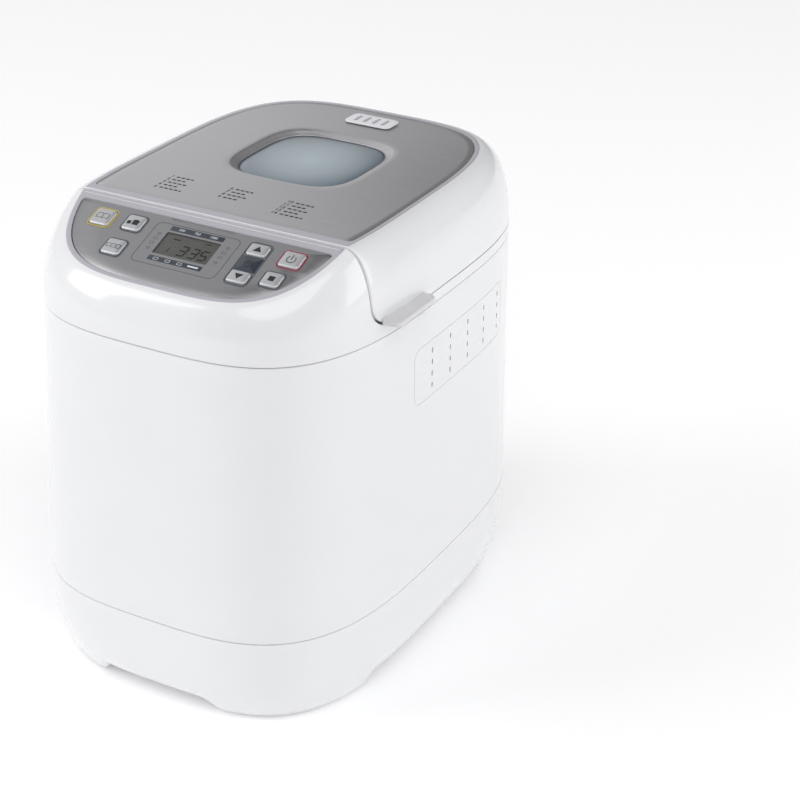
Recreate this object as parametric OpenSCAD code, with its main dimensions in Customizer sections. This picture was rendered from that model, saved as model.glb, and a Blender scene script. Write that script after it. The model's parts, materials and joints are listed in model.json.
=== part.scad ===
// Domestic bread machine: upright rounded body, hinged lid with a window,
// sloping control panel, removable pan with a belt-driven kneading paddle.
// Millimetres. +Z up, front (control panel) towards -Y, right side +X.
// Origin: centre of the footprint, on the table.

/* [Body] */
// Width of the machine at its upper seam
body_w = 224; // [220:1:228]
// Depth of the machine at its upper seam
body_d = 312; // [308:1:316]
// Height of the seam between base skirt and body
skirt_z = 62; // [58:1:66]
// Height of the seam between body and top housing
seam_z = 240; // [239:0.5:241]
// How much wider the body is at the base seam than at the upper seam
body_draft = 1.035; // [1.02:0.005:1.04]
// Wall thickness of the outer mouldings
wall = 2.5; // [2:0.1:3]

/* [Top] */
// Height of the flat lid top
lid_z = 294.6; // [293.5:0.1:295.5]
// Y of the joint between control housing and lid
split_y = -85; // [-86:0.5:-84]
// Slope of the control panel in degrees
panel_tilt = 21; // [19:0.5:22]

/* [Window] */
// Half width of the window glass
win_a = 38; // [36:0.5:40]
// Half depth of the window glass
win_b = 41.8; // [40:0.5:43]
// Y of the window centre
win_y = 30; // [28:1:32]

/* [Buttons] */
// Side of a square button
btn = 12.4; // [11.5:0.1:12.8]
// Gap around each button
btn_gap = 0.35; // [0.3:0.05:0.5]
// Button travel
btn_travel = 1; // [0.8:0.1:1]

/* [Pan] */
// Outer width of the bread pan
pan_w = 126; // [122:1:128]
// Outer depth of the bread pan
pan_d = 158; // [154:1:160]
// Pan rim height above the table
pan_top = 210; // [206:1:212]
// Pan floor height above the table
pan_z = 80; // [79.5:0.5:80.5]
// Y of the pan, chamber and drive axis
cav_y = 24; // [22:1:26]

/* [Drive] */
// Running radius of the large pulley
pulley_r = 36; // [34:1:38]
// Running radius of the motor pulley
pinion_r = 8; // [7:0.5:9]
// Y of the motor axis
motor_y = -108; // [-110:1:-106]
// Radius of the drive and pan shafts
shaft_r = 4; // [3.8:0.1:4.2]

/* [Hidden] */
NP = 64;
aw = body_w / 2;
bw = body_d / 2;
lid_b = seam_z + 9;                // lower edge of the lid
hinge_y = bw - 3;
hinge_z = seam_z + 13;

function sgn(v) = v < 0 ? -1 : 1;
function mix(a, b, t) = a + (b - a) * t;
function sep(t, a, b, yc, n, m) = [a * sgn(cos(t)) * pow(abs(cos(t)), 2 / n), yc + b * sgn(sin(t)) * pow(abs(sin(t)), 2 / m)];
function se_ring(a, b, yc, n, m, k = NP) = [for (i = [0 : k - 1]) sep(360 * i / k + 0.5, a, b, yc, n, m)];

// full footprint ring at draft scale s, moved in by d
function foot_ring(s, d = 0) = se_ring(aw * s - d, bw * s - d, 0, 3.25, 3.4);
function up(r, z) = [for (p = r) [p[0], p[1], z]];

// closed solid from a cycle of rings, all with the same number of points
module ring_cycle(rings) {
  k = len(rings[0]); m = len(rings);
  polyhedron(points = [for (r = rings) for (p = r) p],
    faces = [for (j = [0 : m - 1]) for (i = [0 : k - 1])
      let (a = j * k + i, b = j * k + (i + 1) % k, c = ((j + 1) % m) * k + (i + 1) % k, d = ((j + 1) % m) * k + i)
      for (f = [[a, c, b], [a, d, c]]) f]);
}

// closed solid from a stack of rings with fan caps at both ends
module ring_stack(rings) {
  k = len(rings[0]); m = len(rings);
  polyhedron(points = concat([for (r = rings) for (p = r) p], [[0, 0, rings[0][0][2]], [0, 0, rings[m - 1][0][2]]]),
    faces = concat([for (j = [0 : m - 2]) for (i = [0 : k - 1])
      let (a = j * k + i, b = j * k + (i + 1) % k, c = (j + 1) * k + (i + 1) % k, d = (j + 1) * k + i)
      for (f = [[a, c, b], [a, d, c]]) f],
      [for (i = [0 : k - 1]) [m * k, i, (i + 1) % k]],
      [for (i = [0 : k - 1]) [m * k + 1, (m - 1) * k + (i + 1) % k, (m - 1) * k + i]]));
}

module rrect(w, d, r) { // exact rounded rectangle
  union() {
    square([w - 2 * r, d], center = true);
    square([w, d - 2 * r], center = true);
    for (x = [-1, 1], y = [-1, 1]) translate([x * (w / 2 - r), y * (d / 2 - r)]) circle(r, $fn = 32);
  }
}

// ---------- base ----------
function skirt_s(z) = mix(0.931, body_draft, pow(1 - pow(1 - min(1, max(0, z / skirt_z)), 2.3), 1 / 1.7));
// arches between the corner feet: 0 at a corner, 1 over an arch
function clamp01(v) = max(0, min(1, v));
function arch(p) = max(clamp01((46 - abs(p[0])) / 5) * (abs(p[1]) > bw * 0.6 ? 1 : 0), clamp01((82 - abs(p[1])) / 5) * (abs(p[0]) > aw * 0.6 ? 1 : 0));
function arch_ring(z, d) = [for (p = foot_ring(skirt_s(z), d)) [p[0], p[1], z + 6 * arch(p) * clamp01(1 - (z - 1.5) / 12)]];

module base_tray() color("#f1f1f3") difference() {
  ring_stack(concat(
    [up(foot_ring(0.931, 30), 9.5), up(foot_ring(0.931, 3.2), 9.5), arch_ring(1.5, 3.2)],
    [for (z = [1.5, 6, 12, 18, 26, 36, 48, skirt_z - 0.4]) z < 14 ? arch_ring(z, 0) : up(foot_ring(skirt_s(z)), z)],
    [up(foot_ring(body_draft, wall), skirt_z - 0.4)],
    [for (z = [48, 34, 22, 12]) up(foot_ring(skirt_s(z), wall), z)],
    [up(foot_ring(0.9, 30), 12)]));
  translate([-40, bw * 1.02 - 20, 38]) rotate([-90, 0, 0]) cylinder(r = 6, h = 40, $fn = 48);
  for (p = screw_xy) translate([p[0], p[1], 5]) cylinder(r = 2.2, h = 12, $fn = 32);
}
screw_xy = [[-50, -112], [50, -112], [-50, 112], [50, 112]];
module rubber_feet() color("#303234") for (x = [-72, 72], y = [-108, 108]) translate([x, y, 0]) difference() {
  cylinder(r = 8, h = 9.5, $fn = 48);
  translate([0, 0, -1]) cylinder(r = 3, h = 2.5, $fn = 32);
}
module base_screws() color("#b8babd") for (p = screw_xy) translate([p[0], p[1], 0]) {
  translate([0, 0, 6.5]) cylinder(r = 4, h = 3, $fn = 32);
  translate([0, 0, 9.4]) cylinder(r = 2, h = 22, $fn = 32);
}

// ---------- body ----------
module body_shell() color("#f6f6f8") difference() {
  ring_cycle([up(foot_ring(body_draft), skirt_z), up(foot_ring(mix(body_draft, 1, 0.5)), mix(skirt_z, seam_z, 0.5)), up(foot_ring(1), seam_z - 0.4),
    up(foot_ring(1, wall), seam_z - 0.4), up(foot_ring(body_draft, wall), skirt_z)]);
  // steam slots on both sides: five columns of four
  for (s = [-1, 1], c = [0 : 4], r = [0 : 3])
    translate([s * (aw - 2), -19.6 + 23.9 * c, 210.5 - 7.6 * r]) cube([16, 1.8, 4.6], center = true);
}

// ---------- top form shared by control housing and lid ----------
function prof(h) = 1 - pow(1 - pow(min(1, h), 2.2), 0.526);
function ta(h) = mix(aw, 93, prof(h));
function tb(h) = mix(bw, 138, prof(h));
function tc(h) = mix(0, -6.2, prof(h));
function tn(h) = mix(3.3, 3.8, prof(h));
function tm(h) = mix(3.4, 3.7, prof(h));
function pz(y) = lid_z - 0.5 + (y - split_y) * tan(panel_tilt);
function cut_a(b, yc, m, yq) = asin(pow(min(1, (yc - yq) / b), m / 2));
// D-shaped ring in front of the split: arc round the front, straight along the split
function front_ring(h, d, zt, hz) = let (a = ta(h) - d, b = tb(h) - d, yc = tc(h), n = tn(h), m = tm(h), yq = split_y - 0.4 - d, c = cut_a(b, yc, m, yq),
    arc = [for (i = [0 : 40]) sep(180 + c + (180 - 2 * c) * i / 40, a, b, yc, n, m)],
    p1 = arc[40], p0 = arc[0])
  concat([for (p = arc) [p[0], p[1], seam_z + 0.3 + (pz(p[1]) - zt - seam_z - 0.3) * hz]],
    [for (j = [1 : 9]) [mix(p1[0], p0[0], j / 10), yq, seam_z + 0.3 + (pz(yq) - zt - seam_z - 0.3) * hz]]);
hs = [0, 0.2, 0.4, 0.55, 0.68, 0.79, 0.88, 0.945, 0.985];
module control_housing() color("#f3f3f6") ring_cycle(concat(
  [for (h = hs) front_ring(h, 0, 0, h)],
  [front_ring(1, 0.4, 0, 1), front_ring(1, 2.4, 0, 1), front_ring(1, 2.4, 2.4, 1), front_ring(1, 5, 2.4, 1), front_ring(1, 5, 4.4, 1)],
  [for (h = [0.9, 0.8, 0.68, 0.5, 0.25, 0]) front_ring(h, h > 0.85 ? wall + 3 : wall, 4.4, h * 0.97)]));

// deck: frame round the baking chamber, with a raised outer band that the lid meets
function back_ring(h, d, k = 48, nl = 12) = let (a = ta(h) - d, b = tb(h) - d, yc = tc(h), n = tn(h), m = tm(h), yq = split_y + 0.6 + d, c = cut_a(b, yc, m, yq),
    arc = [for (i = [0 : k]) sep(-c + (180 + 2 * c) * i / k, a, b, yc, n, m)])
  concat(arc, [for (j = [1 : nl - 1]) [mix(arc[k][0], arc[0][0], j / nl), yq]]);
module top_deck() color("#ececef") {
  difference() {
    translate([0, 0, seam_z + 0.2]) linear_extrude(2.8) polygon(back_ring(0, 1));
    translate([0, cav_y, seam_z - 1]) linear_extrude(6) rrect(160, 194, 26);
  }
  difference() {
    translate([0, 0, seam_z + 0.2]) linear_extrude(6.6) polygon(back_ring(0, 0));
    translate([0, 0, seam_z - 1]) linear_extrude(10) polygon(back_ring(0, wall));
    translate([-45, hinge_y - 8, seam_z + 3]) cube([90, 30, 10]);
  }
}

// ---------- control panel, drawn on its own slope: u across, v down the slope ----------
module on_panel() translate([0, split_y - 0.4, pz(split_y - 0.4)]) rotate([panel_tilt, 0, 0]) children();
cp = cos(panel_tilt);
function fascia_outline(d) = [for (p = front_ring(1, d, 0, 1)) [p[0], (p[1] - split_y + 0.4) / cp]];
module key_hole(u, v, w, h) translate([u, v, -5]) linear_extrude(10) rrect(w + 2 * btn_gap, h + 2 * btn_gap, 2);
keys = [[-62.9, -18.8, btn + 1, btn + 1], [-41.6, -18, btn, btn], [-42.2, -39.4, btn, btn], [41.9, -16.6, 13, 9.6], [41.9, -39.6, 13, 9.6], [64.6, -18, 13.6, btn], [61.6, -35.8, btn - 0.6, btn - 1]];
lcd = [0.4, -27.4, 36, 18];
module control_fascia() color("#a9abb0") on_panel() difference() {
  union() {
    translate([0, 0, -2.2]) linear_extrude(2.2) polygon(fascia_outline(3.4));
    for (s = [-1, 1], p = [[77, -12], [58, -46]]) translate([s * p[0], p[1], -12]) cylinder(r = 2.6, h = 10, $fn = 32);
  }
  for (k = keys) key_hole(k[0], k[1], k[2], k[3]);
  translate([lcd[0], lcd[1], -5]) linear_extrude(10) rrect(lcd[2] + 0.2, lcd[3] + 0.2, 1.5);
  translate([41.9, -28.1, -5]) linear_extrude(10) rrect(11.2, 9.2, 1.2);
}
module lcd_lens() color("#8f979b", 0.6) on_panel() translate([lcd[0], lcd[1], -2]) linear_extrude(1.8) rrect(lcd[2], lcd[3], 1.4);
module lcd_module() color("#4c5a50") on_panel() {
  translate([lcd[0], lcd[1], -7.2]) linear_extrude(5) rrect(lcd[2] + 2, lcd[3] + 2, 1);
  translate([lcd[0], lcd[1], -12]) linear_extrude(4.9) rrect(lcd[2] - 4, 8, 1);
}
module control_pcb() color("#2d6a3e") on_panel() translate([0, -29.2, -13.6]) linear_extrude(1.6) rrect(154, 40, 3);
module key_switches() color("#26282b") on_panel() for (k = keys) translate([k[0], k[1], -12]) {
  linear_extrude(3.2) square([6, 6], center = true);
  cylinder(r = 1.7, h = 5.6 - btn_travel, $fn = 24);
}
module clock_tile() color("#39435a") on_panel() translate([41.9, -28.1, -2.2]) linear_extrude(2.6) rrect(11, 9, 1.1);
module key(i) color("#b9bbc0") on_panel() translate([keys[i][0], keys[i][1], 0]) {
  translate([0, 0, -3]) linear_extrude(4.2) rrect(keys[i][2], keys[i][3], 1.9);
  translate([0, 0, -4.4]) linear_extrude(1.5) rrect(keys[i][2] + 2, min(keys[i][3] + 2, 11.2 + (keys[i][3] > 10 ? 2 : 0)), 1.9);
  translate([0, 0, -6]) cylinder(r = 2, h = 1.7, $fn = 24);
}
module menu_button() key(0);
module loaf_size_button() key(1);
module crust_button() key(2);
module up_button() key(3);
module down_button() key(4);
module start_button() key(5);
module stop_button() key(6);

// ---------- lid ----------
function win_ring(base, d) = [for (p = base) let (t = atan2(p[1] - win_y, p[0]), r = pow(pow(abs(cos(t)) / (win_a + d), 3.6) + pow(abs(sin(t)) / (win_b + d), 3.6), -1 / 3.6)) [r * cos(t), win_y + r * sin(t)]];
function lid_h(h) = seam_z + (lid_z - seam_z) * h;
h0 = (lid_b - seam_z) / (lid_z - seam_z);
lhs = [h0, 0.3, 0.45, 0.6, 0.72, 0.82, 0.9, 0.96, 0.99];
module lid_shell() color("#f4f4f7") difference() {
  ring_cycle(concat(
    [for (h = lhs) up(back_ring(h, 0), lid_h(h))],
    [up(back_ring(1, 0.3), lid_z), up(back_ring(1, 2.4), lid_z), up(back_ring(1, 2.4), lid_z - 1.5)],
    [up(win_ring(back_ring(1, 2.4), 3), lid_z - 1.5), up(win_ring(back_ring(1, 2.4), 3), lid_z - 4.2)],
    [up(back_ring(1, 6), lid_z - 4.2)],
    [for (h = [0.93, 0.86, 0.75, 0.6, 0.4]) up(back_ring(h, h > 0.8 ? wall + 1 : wall), lid_h(h) - (h > 0.8 ? 2 : 0))],
    [up(back_ring(h0, wall), lid_b)]));
  translate([-45, hinge_y - 7, seam_z]) cube([90, 30, 18.5]);
  translate([0, 107, lid_z - 8]) linear_extrude(12) rrect(29, 14, 3);
}
module lid_top_panel() color("#9b9a9d") difference() {
  translate([0, 0, lid_z - 1.5]) linear_extrude(1.7) polygon(back_ring(1, 2.7));
  translate([0, 0, lid_z - 5]) linear_extrude(10) polygon(win_ring(back_ring(1, 2.4), 5.6));
  translate([0, 107, lid_z - 8]) linear_extrude(12) rrect(29, 14, 3);
}
module window_bezel() color("#8d8e92") difference() {
  union() {
    translate([0, 0, lid_z - 1.5]) linear_extrude(1.9) polygon(win_ring(back_ring(1, 2.4), 5.4));
    translate([0, 0, lid_z - 6.4]) linear_extrude(5) polygon(win_ring(back_ring(1, 2.4), 2.8));
  }
  translate([0, 0, lid_z - 4.6]) linear_extrude(10) polygon(win_ring(back_ring(1, 2.4), 0.1));
  translate([0, 0, lid_z - 10]) linear_extrude(10) polygon(win_ring(back_ring(1, 2.4), -2));
}
module window_glass() color("#b9c6cb", 0.7) translate([0, 0, lid_z - 4.6]) linear_extrude(3) polygon(win_ring(back_ring(1, 2.4), 0));
module lid_vent_plate() color("#c9c9cd") difference() {
  union() {
    translate([0, 107, lid_z + 0.2]) linear_extrude(0.9) rrect(32.8, 18, 4);
    translate([0, 107, lid_z - 4]) linear_extrude(4.3) rrect(28.6, 13.6, 2.8);
  }
  for (i = [-1.5, -0.5, 0.5, 1.5]) translate([i * 6.4, 107, lid_z]) cube([2.6, 9.6, 20], center = true);
}
module lid_liner() color("#b4b6ba") difference() {
  union() {
    translate([0, cav_y, seam_z + 10]) linear_extrude(lid_z - 5.8 - seam_z - 10) rrect(150, 186, 24);
    for (x = [-58, 58], y = [-56, 92]) translate([x, y, lid_z - 6]) cylinder(r = 5, h = 1.8, $fn = 48);
  }
  translate([0, cav_y, seam_z + 5]) linear_extrude(lid_z - 6.8 - seam_z - 5) rrect(148, 184, 23);
  translate([0, win_y, seam_z]) linear_extrude(80) rrect(win_a * 2 + 8, win_b * 2 + 8, 16);
  translate([0, 105, seam_z]) linear_extrude(80) rrect(26, 12, 3);
}
module lid_seal() color("#8c8f93") translate([0, cav_y, seam_z + 4.8]) linear_extrude(5.2) difference() {
  rrect(150, 186, 24);
  rrect(146, 182, 22);
}
module lid_grips() color("#d4d4d9") difference() {
  for (s = [-1, 1]) translate([s * (aw - 2.4), -54, lid_b - 0.6]) intersection() {
    linear_extrude(5.6) rrect(22, 48, 9);
    translate([s * 10, 0, 3]) cube([20, 60, 8], center = true);
  }
  translate([0, 0, lid_b - 5]) linear_extrude(20) polygon(back_ring(h0, 0));
}

// ---------- hinge ----------
module hinge_pin() color("#9a9c9f") translate([-42, hinge_y, hinge_z]) rotate([0, 90, 0]) cylinder(r = 2, h = 84, $fn = 32);
module knuckle(x0, x1, br) translate([x0, hinge_y, hinge_z]) rotate([0, 90, 0]) difference() {
  cylinder(r = 4.2, h = x1 - x0, $fn = 48);
  translate([0, 0, -1]) cylinder(r = br, h = x1 - x0 + 2, $fn = 48);
}
module deck_hinge_knuckles() color("#e2e2e6") for (r = [[-42, -28.4], [-9.6, 9.6], [28.4, 42]]) {
  knuckle(r[0], r[1], 2);
  difference() {
    translate([r[0], hinge_y - 4, seam_z + 3]) cube([r[1] - r[0], 6.5, 9]);
    translate([r[0] - 1, hinge_y, hinge_z]) rotate([0, 90, 0]) cylinder(r = 4.1, h = r[1] - r[0] + 2, $fn = 48);
  }
}
module lid_hinge_knuckles() color("#dcdce0") for (r = [[-28, -10], [10, 28]]) {
  knuckle(r[0], r[1], 2.06);
  difference() {
    translate([r[0], hinge_y - 4.2, hinge_z + 1]) cube([r[1] - r[0], 3.6, 14]);
    translate([r[0] - 1, hinge_y, hinge_z]) rotate([0, 90, 0]) cylinder(r = 4.1, h = r[1] - r[0] + 2, $fn = 48);
  }
}

// ---------- baking chamber ----------
ch_z = 70;
module baking_chamber() color("#a8aaae") translate([0, cav_y, 0]) difference() {
  union() {
    translate([0, 0, ch_z - 1]) linear_extrude(seam_z + 3 - ch_z + 1.6) rrect(156, 190, 24);
    translate([0, 0, seam_z + 3]) linear_extrude(1) rrect(174, 204, 32);
  }
  translate([0, 0, ch_z]) linear_extrude(200) rrect(154, 188, 23);
  translate([0, 0, ch_z - 5]) cylinder(r = 9, h = 10, $fn = 48);
  for (x = [-12, 12]) translate([x, -90, 92]) rotate([90, 0, 0]) cylinder(r = 4.3, h = 10, $fn = 32);
  translate([30, -90, 110]) rotate([90, 0, 0]) cylinder(r = 4.3, h = 10, $fn = 32);
}
el_w = 140; el_d = 173; el_r = 20;
module heating_element() color("#54524f") translate([0, cav_y, 92]) {
  for (s = [-1, 1]) {
    translate([s * el_w / 2, -el_d / 2 + el_r, 0]) rotate([-90, 0, 0]) cylinder(r = 3.2, h = el_d - 2 * el_r, $fn = 24);
    translate([s * (el_w / 2 - el_r), el_d / 2 - el_r, 0]) rotate([0, 0, s > 0 ? 0 : 90]) rotate_extrude(angle = 90, $fn = 64) translate([el_r, 0]) circle(3.2, $fn = 24);
    translate([s * (el_w / 2 - el_r), -el_d / 2 + el_r, 0]) rotate([0, 0, s > 0 ? -90 : 180]) rotate_extrude(angle = 90, $fn = 64) translate([el_r, 0]) circle(3.2, $fn = 24);
    translate([s * 12, -el_d / 2, 0]) rotate([0, s * 90, 0]) cylinder(r = 3.2, h = el_w / 2 - el_r - 12, $fn = 24);
    translate([s * 12, -el_d / 2 + 3.2, 0]) rotate([90, 0, 0]) cylinder(r = 3.2, h = 18, $fn = 24);
  }
  translate([0, el_d / 2, 0]) rotate([0, 90, 0]) translate([0, 0, -el_w / 2 + el_r]) cylinder(r = 3.2, h = el_w - 2 * el_r, $fn = 24);
}
module temperature_sensor() color("#c4c4c2") translate([30, cav_y - 86, 110]) rotate([90, 0, 0]) {
  cylinder(r = 3, h = 18, $fn = 32);
  translate([0, 0, 9.1]) cylinder(r = 6, h = 5, $fn = 32);
}
module pan_seat_ring() color("#8e9094") translate([0, cav_y, ch_z]) difference() {
  union() { cylinder(r = 36, h = 8, $fn = 96); cylinder(r = 42, h = 1.2, $fn = 96); }
  translate([0, 0, -1]) cylinder(r = 33.5, h = 12, $fn = 96);
}

// ---------- chassis and drive ----------
module chassis_plate() color("#9c9ea1") difference() {
  union() {
    translate([0, 2, 46]) linear_extrude(1.5) rrect(168, 270, 40);
    for (p = screw_xy) translate([p[0], p[1], 12]) cylinder(r = 6, h = 34.5, $fn = 48);
    translate([-70, cav_y - 60, 47]) cube([2, 120, 22]);
    translate([68, cav_y - 60, 47]) cube([2, 120, 22]);
  }
  for (p = screw_xy) translate([p[0], p[1], 10]) cylinder(r = 2.05, h = 22, $fn = 32);
  translate([0, cav_y, 40]) cylinder(r = 12, h = 10, $fn = 48);
  translate([0, motor_y, 40]) cylinder(r = 10, h = 10, $fn = 48);
  for (q = [0, 120, 240]) translate([26 * sin(q), motor_y + 26 * cos(q), 40]) cylinder(r = 2.05, h = 10, $fn = 32);
}
module shaft_bearing() color("#b3a06a") translate([0, cav_y, 0]) difference() {
  union() {
    translate([0, 0, 41]) cylinder(r = 11.9, h = 6.5, $fn = 48);
    translate([0, 0, 47.5]) cylinder(r = 18, h = 21.5, $fn = 64);
    translate([0, 0, 68.9]) cylinder(r = 8.9, h = 1.9, $fn = 48);
  }
  translate([0, 0, 30]) cylinder(r = shaft_r + 0.06, h = 50, $fn = 48);
}
module drive_shaft() color("#c3c5c8") translate([0, cav_y, 24]) cylinder(r = shaft_r, h = 50, $fn = 48);
module pulley(r, br, z0, h) difference() {
  union() {
    translate([0, 0, z0]) cylinder(r = r + 2.6, h = 1.6, $fn = 96);
    translate([0, 0, z0 + 1.5]) cylinder(r = r, h = h - 3, $fn = 96);
    translate([0, 0, z0 + h - 1.6]) cylinder(r = r + 2.6, h = 1.6, $fn = 96);
  }
  translate([0, 0, z0 - 1]) cylinder(r = br, h = h + 2, $fn = 48);
}
module large_pulley() color("#e8e6df") translate([0, cav_y, 0]) difference() {
  pulley(pulley_r, shaft_r, 27, 12);
  for (q = [0 : 60 : 300]) rotate([0, 0, q]) translate([22, 0, 20]) cylinder(r = 6.5, h = 30, $fn = 32);
}
module drive_dog() color("#8b8d90") translate([0, cav_y, 0]) {
  difference() {
    union() {
      translate([0, 0, 71.2]) cylinder(r = 15, h = 2.6, $fn = 64);
      for (s = [-1, 1]) translate([s * 6.6, s * 9, 73.7]) cylinder(r = 2.8, h = 4.8, $fn = 32);
    }
    translate([0, 0, 70]) cylinder(r = shaft_r, h = 10, $fn = 48);
  }
}
cdist = cav_y - motor_y;
bt = 1.6;
br1 = pulley_r + 0.35;
br2 = pinion_r + 0.35;
bang = asin((br1 - br2) / cdist);
module arc_band(r, t, a0, a1, h) rotate([0, 0, a0]) rotate_extrude(angle = a1 - a0, $fn = 128) translate([r, 0]) square([t, h]);
module drive_belt() color("#2b2b2d") translate([0, 0, 29.2]) {
  translate([0, cav_y, 0]) arc_band(br1, bt, -bang, 180 + bang, 7.6);
  translate([0, motor_y, 0]) arc_band(br2, bt, 180 + bang, 360 - bang, 7.6);
  for (s = [-1, 1]) {
    // straight run tangent to both pulleys
    translate([s * br2 * cos(bang), motor_y - br2 * sin(bang), 0]) rotate([0, 0, s > 0 ? 90 - bang : 90 + bang]) translate([-0.02, s > 0 ? -bt : 0, 0]) cube([cdist * cos(bang) + 0.04, bt, 7.6]);
  }
}
module motor() color("#7d8084") translate([0, motor_y, 0]) difference() {
  union() {
    translate([0, 0, 47.5]) cylinder(r = 31, h = 4, $fn = 96);
    translate([0, 0, 51]) cylinder(r = 29, h = 62, $fn = 96);
    translate([0, 0, 44]) cylinder(r = 9.9, h = 5, $fn = 48);
    translate([0, 0, 112]) cylinder(r = 9, h = 5, $fn = 48);
    translate([0, 0, 62]) linear_extrude(36) rrect(62, 56, 8);
  }
  translate([0, 0, 40]) cylinder(r = 3.06, h = 40, $fn = 48);
  for (q = [0, 120, 240]) rotate([0, 0, 90 - q]) translate([26, 0, 44]) cylinder(r = 2.05, h = 10, $fn = 32);
}
module motor_shaft() color("#c9cacc") translate([0, motor_y, 24]) cylinder(r = 3, h = 54, $fn = 48);
module motor_pulley() color("#d8d4c8") translate([0, motor_y, 0]) pulley(pinion_r, 3, 27, 12);
module motor_screws() color("#b8babd") for (q = [0, 120, 240]) translate([26 * sin(q), motor_y + 26 * cos(q), 0]) {
  translate([0, 0, 43]) cylinder(r = 3.8, h = 3, $fn = 32);
  translate([0, 0, 45.9]) cylinder(r = 2, h = 7, $fn = 32);
}
module power_board() color("#8a6b3c") translate([64, motor_y, 47.5]) {
  translate([0, -24, 0]) cube([1.6, 50, 70]);
  translate([1.5, -20, 26]) cube([16, 22, 24]);
  translate([1.5, 6, 10]) cube([12, 14, 16]);
  translate([-9.9, 10, 34]) rotate([0, 90, 0]) cylinder(r = 6, h = 10, $fn = 32);
  translate([-7.9, -10, 14]) cube([8, 16, 8]);
}
module cord_gland() color("#e4e4e8") translate([-40, 0, 38]) rotate([-90, 0, 0]) difference() {
  union() {
    translate([0, 0, bw * 1.02 - 11]) cylinder(r = 5.9, h = 12.6, $fn = 48);
    translate([0, 0, bw * 1.02 - 11]) cylinder(r = 9, h = 2.5, $fn = 48);
    translate([0, 0, bw * 1.02 + 0.6]) cylinder(r = 8.5, h = 1.7, $fn = 48);
  }
  translate([0, 0, bw * 1.02 - 12]) cylinder(r = 3.6, h = 30, $fn = 48);
}

// ---------- pan ----------
module bread_pan() color("#5b5a5c") translate([0, cav_y, 0]) difference() {
  union() {
    translate([0, 0, pan_z]) linear_extrude(pan_top - pan_z) rrect(pan_w, pan_d, 22);
    translate([0, 0, pan_top - 2.4]) linear_extrude(2.4) rrect(pan_w + 5, pan_d + 5, 24.5);
    for (s = [-1, 1]) translate([s * (pan_w / 2 + 1.2), 0, pan_top - 9]) rotate([0, 90, 0]) cylinder(r = 6, h = 3.6, center = true, $fn = 48);
  }
  translate([0, 0, pan_z + 1.5]) linear_extrude(200) rrect(pan_w - 3, pan_d - 3, 20.5);
  translate([0, 0, pan_z - 1]) cylinder(r = 8, h = 4, $fn = 48);
  translate([-100, 0, pan_top - 9]) rotate([0, 90, 0]) cylinder(r = 2.06, h = 200, $fn = 48);
}
module pan_base_ring() color("#9b9da0") translate([0, cav_y, 72]) difference() {
  union() { cylinder(r = 32.5, h = 7, $fn = 96); translate([0, 0, 6.4]) cylinder(r = 36, h = 1.6, $fn = 96); }
  translate([0, 0, -1]) cylinder(r = 30.5, h = 12, $fn = 96);
}
module pan_bushing() color("#b39a5c") translate([0, cav_y, 0]) difference() {
  union() {
    translate([0, 0, 79]) cylinder(r = 7.9, h = 9, $fn = 48);
    translate([0, 0, pan_z + 1.5]) cylinder(r = 12, h = 3, $fn = 48);
  }
  translate([0, 0, 70]) cylinder(r = shaft_r + 0.06, h = 30, $fn = 48);
}
module shaft_seal() color("#3a3a3c") translate([0, cav_y, 88]) difference() {
  cylinder(r = 7.5, h = 2, $fn = 48);
  translate([0, 0, -1]) cylinder(r = shaft_r + 0.09, h = 5, $fn = 48);
}
// wire bail: pins in the pan's ears, round elbows, two arms, two corners and a crossbar
bl = 74;
bail_x = pan_w / 2 + 5.9;
bail_rest = 10;
module bail_bend(x, y, r, a) translate([x, y, 0]) rotate([0, 0, a]) rotate_extrude(angle = 90, $fn = 64) translate([r, 0]) circle(2, $fn = 32);
module pan_bail() color("#b6b7ba") translate([0, cav_y, pan_top - 9]) rotate([bail_rest, 0, 0]) {
  for (s = [-1, 1]) {
    translate([s * (pan_w / 2 - 2.2), 0, 0]) rotate([0, s * 90, 0]) cylinder(r = 2, h = 5.6, $fn = 32);
    bail_bend(s * (bail_x - 2.5), 2.5, 2.5, s > 0 ? -90 : 180);
    translate([s * bail_x, 2.5, 0]) rotate([-90, 0, 0]) cylinder(r = 2, h = bl - 14.5, $fn = 32);
    bail_bend(s * (bail_x - 12), bl - 12, 12, s > 0 ? 0 : 90);
  }
  translate([-(bail_x - 12), bl, 0]) rotate([0, 90, 0]) cylinder(r = 2, h = 2 * (bail_x - 12), $fn = 32);
}
module pan_shaft() color("#c6c7c9") translate([0, cav_y, 0]) difference() {
  translate([0, 0, 74.6]) cylinder(r = shaft_r, h = 40, $fn = 48);
  translate([3.2, -5, 90.3]) cube([5, 10, 30]);
}
module pan_coupler() color("#919396") translate([0, cav_y, 0]) difference() {
  union() {
    translate([0, 0, 74.6]) cylinder(r = 7, h = 4.1, $fn = 48);
    translate([0, 0, 76.6]) cube([7, 26, 4], center = true);
  }
  translate([0, 0, 70]) cylinder(r = shaft_r, h = 10, $fn = 48);
}
module kneading_paddle() color("#4a494b") translate([0, cav_y, 0]) difference() {
  union() {
    translate([0, 0, 90.6]) cylinder(r = 8.5, h = 26, $fn = 48);
    translate([0, 0, 92.6]) rotate([90, 0, 0]) translate([0, 0, -2.4]) linear_extrude(4.8) polygon([[0, -1], [40, 0], [44, 2.5], [45, 7], [42, 14], [34, 20], [22, 23.5], [8, 24], [0, 24]]);
    translate([0, 0, 92.6]) rotate([90, 0, 0]) translate([0, 0, -2.2]) linear_extrude(4.4) polygon([[0, 0], [-12, 0], [-15, 6], [-12, 16], [0, 22]]);
  }
  difference() {
    translate([0, 0, 86]) cylinder(r = shaft_r + 0.08, h = 28.7, $fn = 48);
    translate([3.3, -6, 80]) cube([6, 12, 60]);
  }
}

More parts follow.
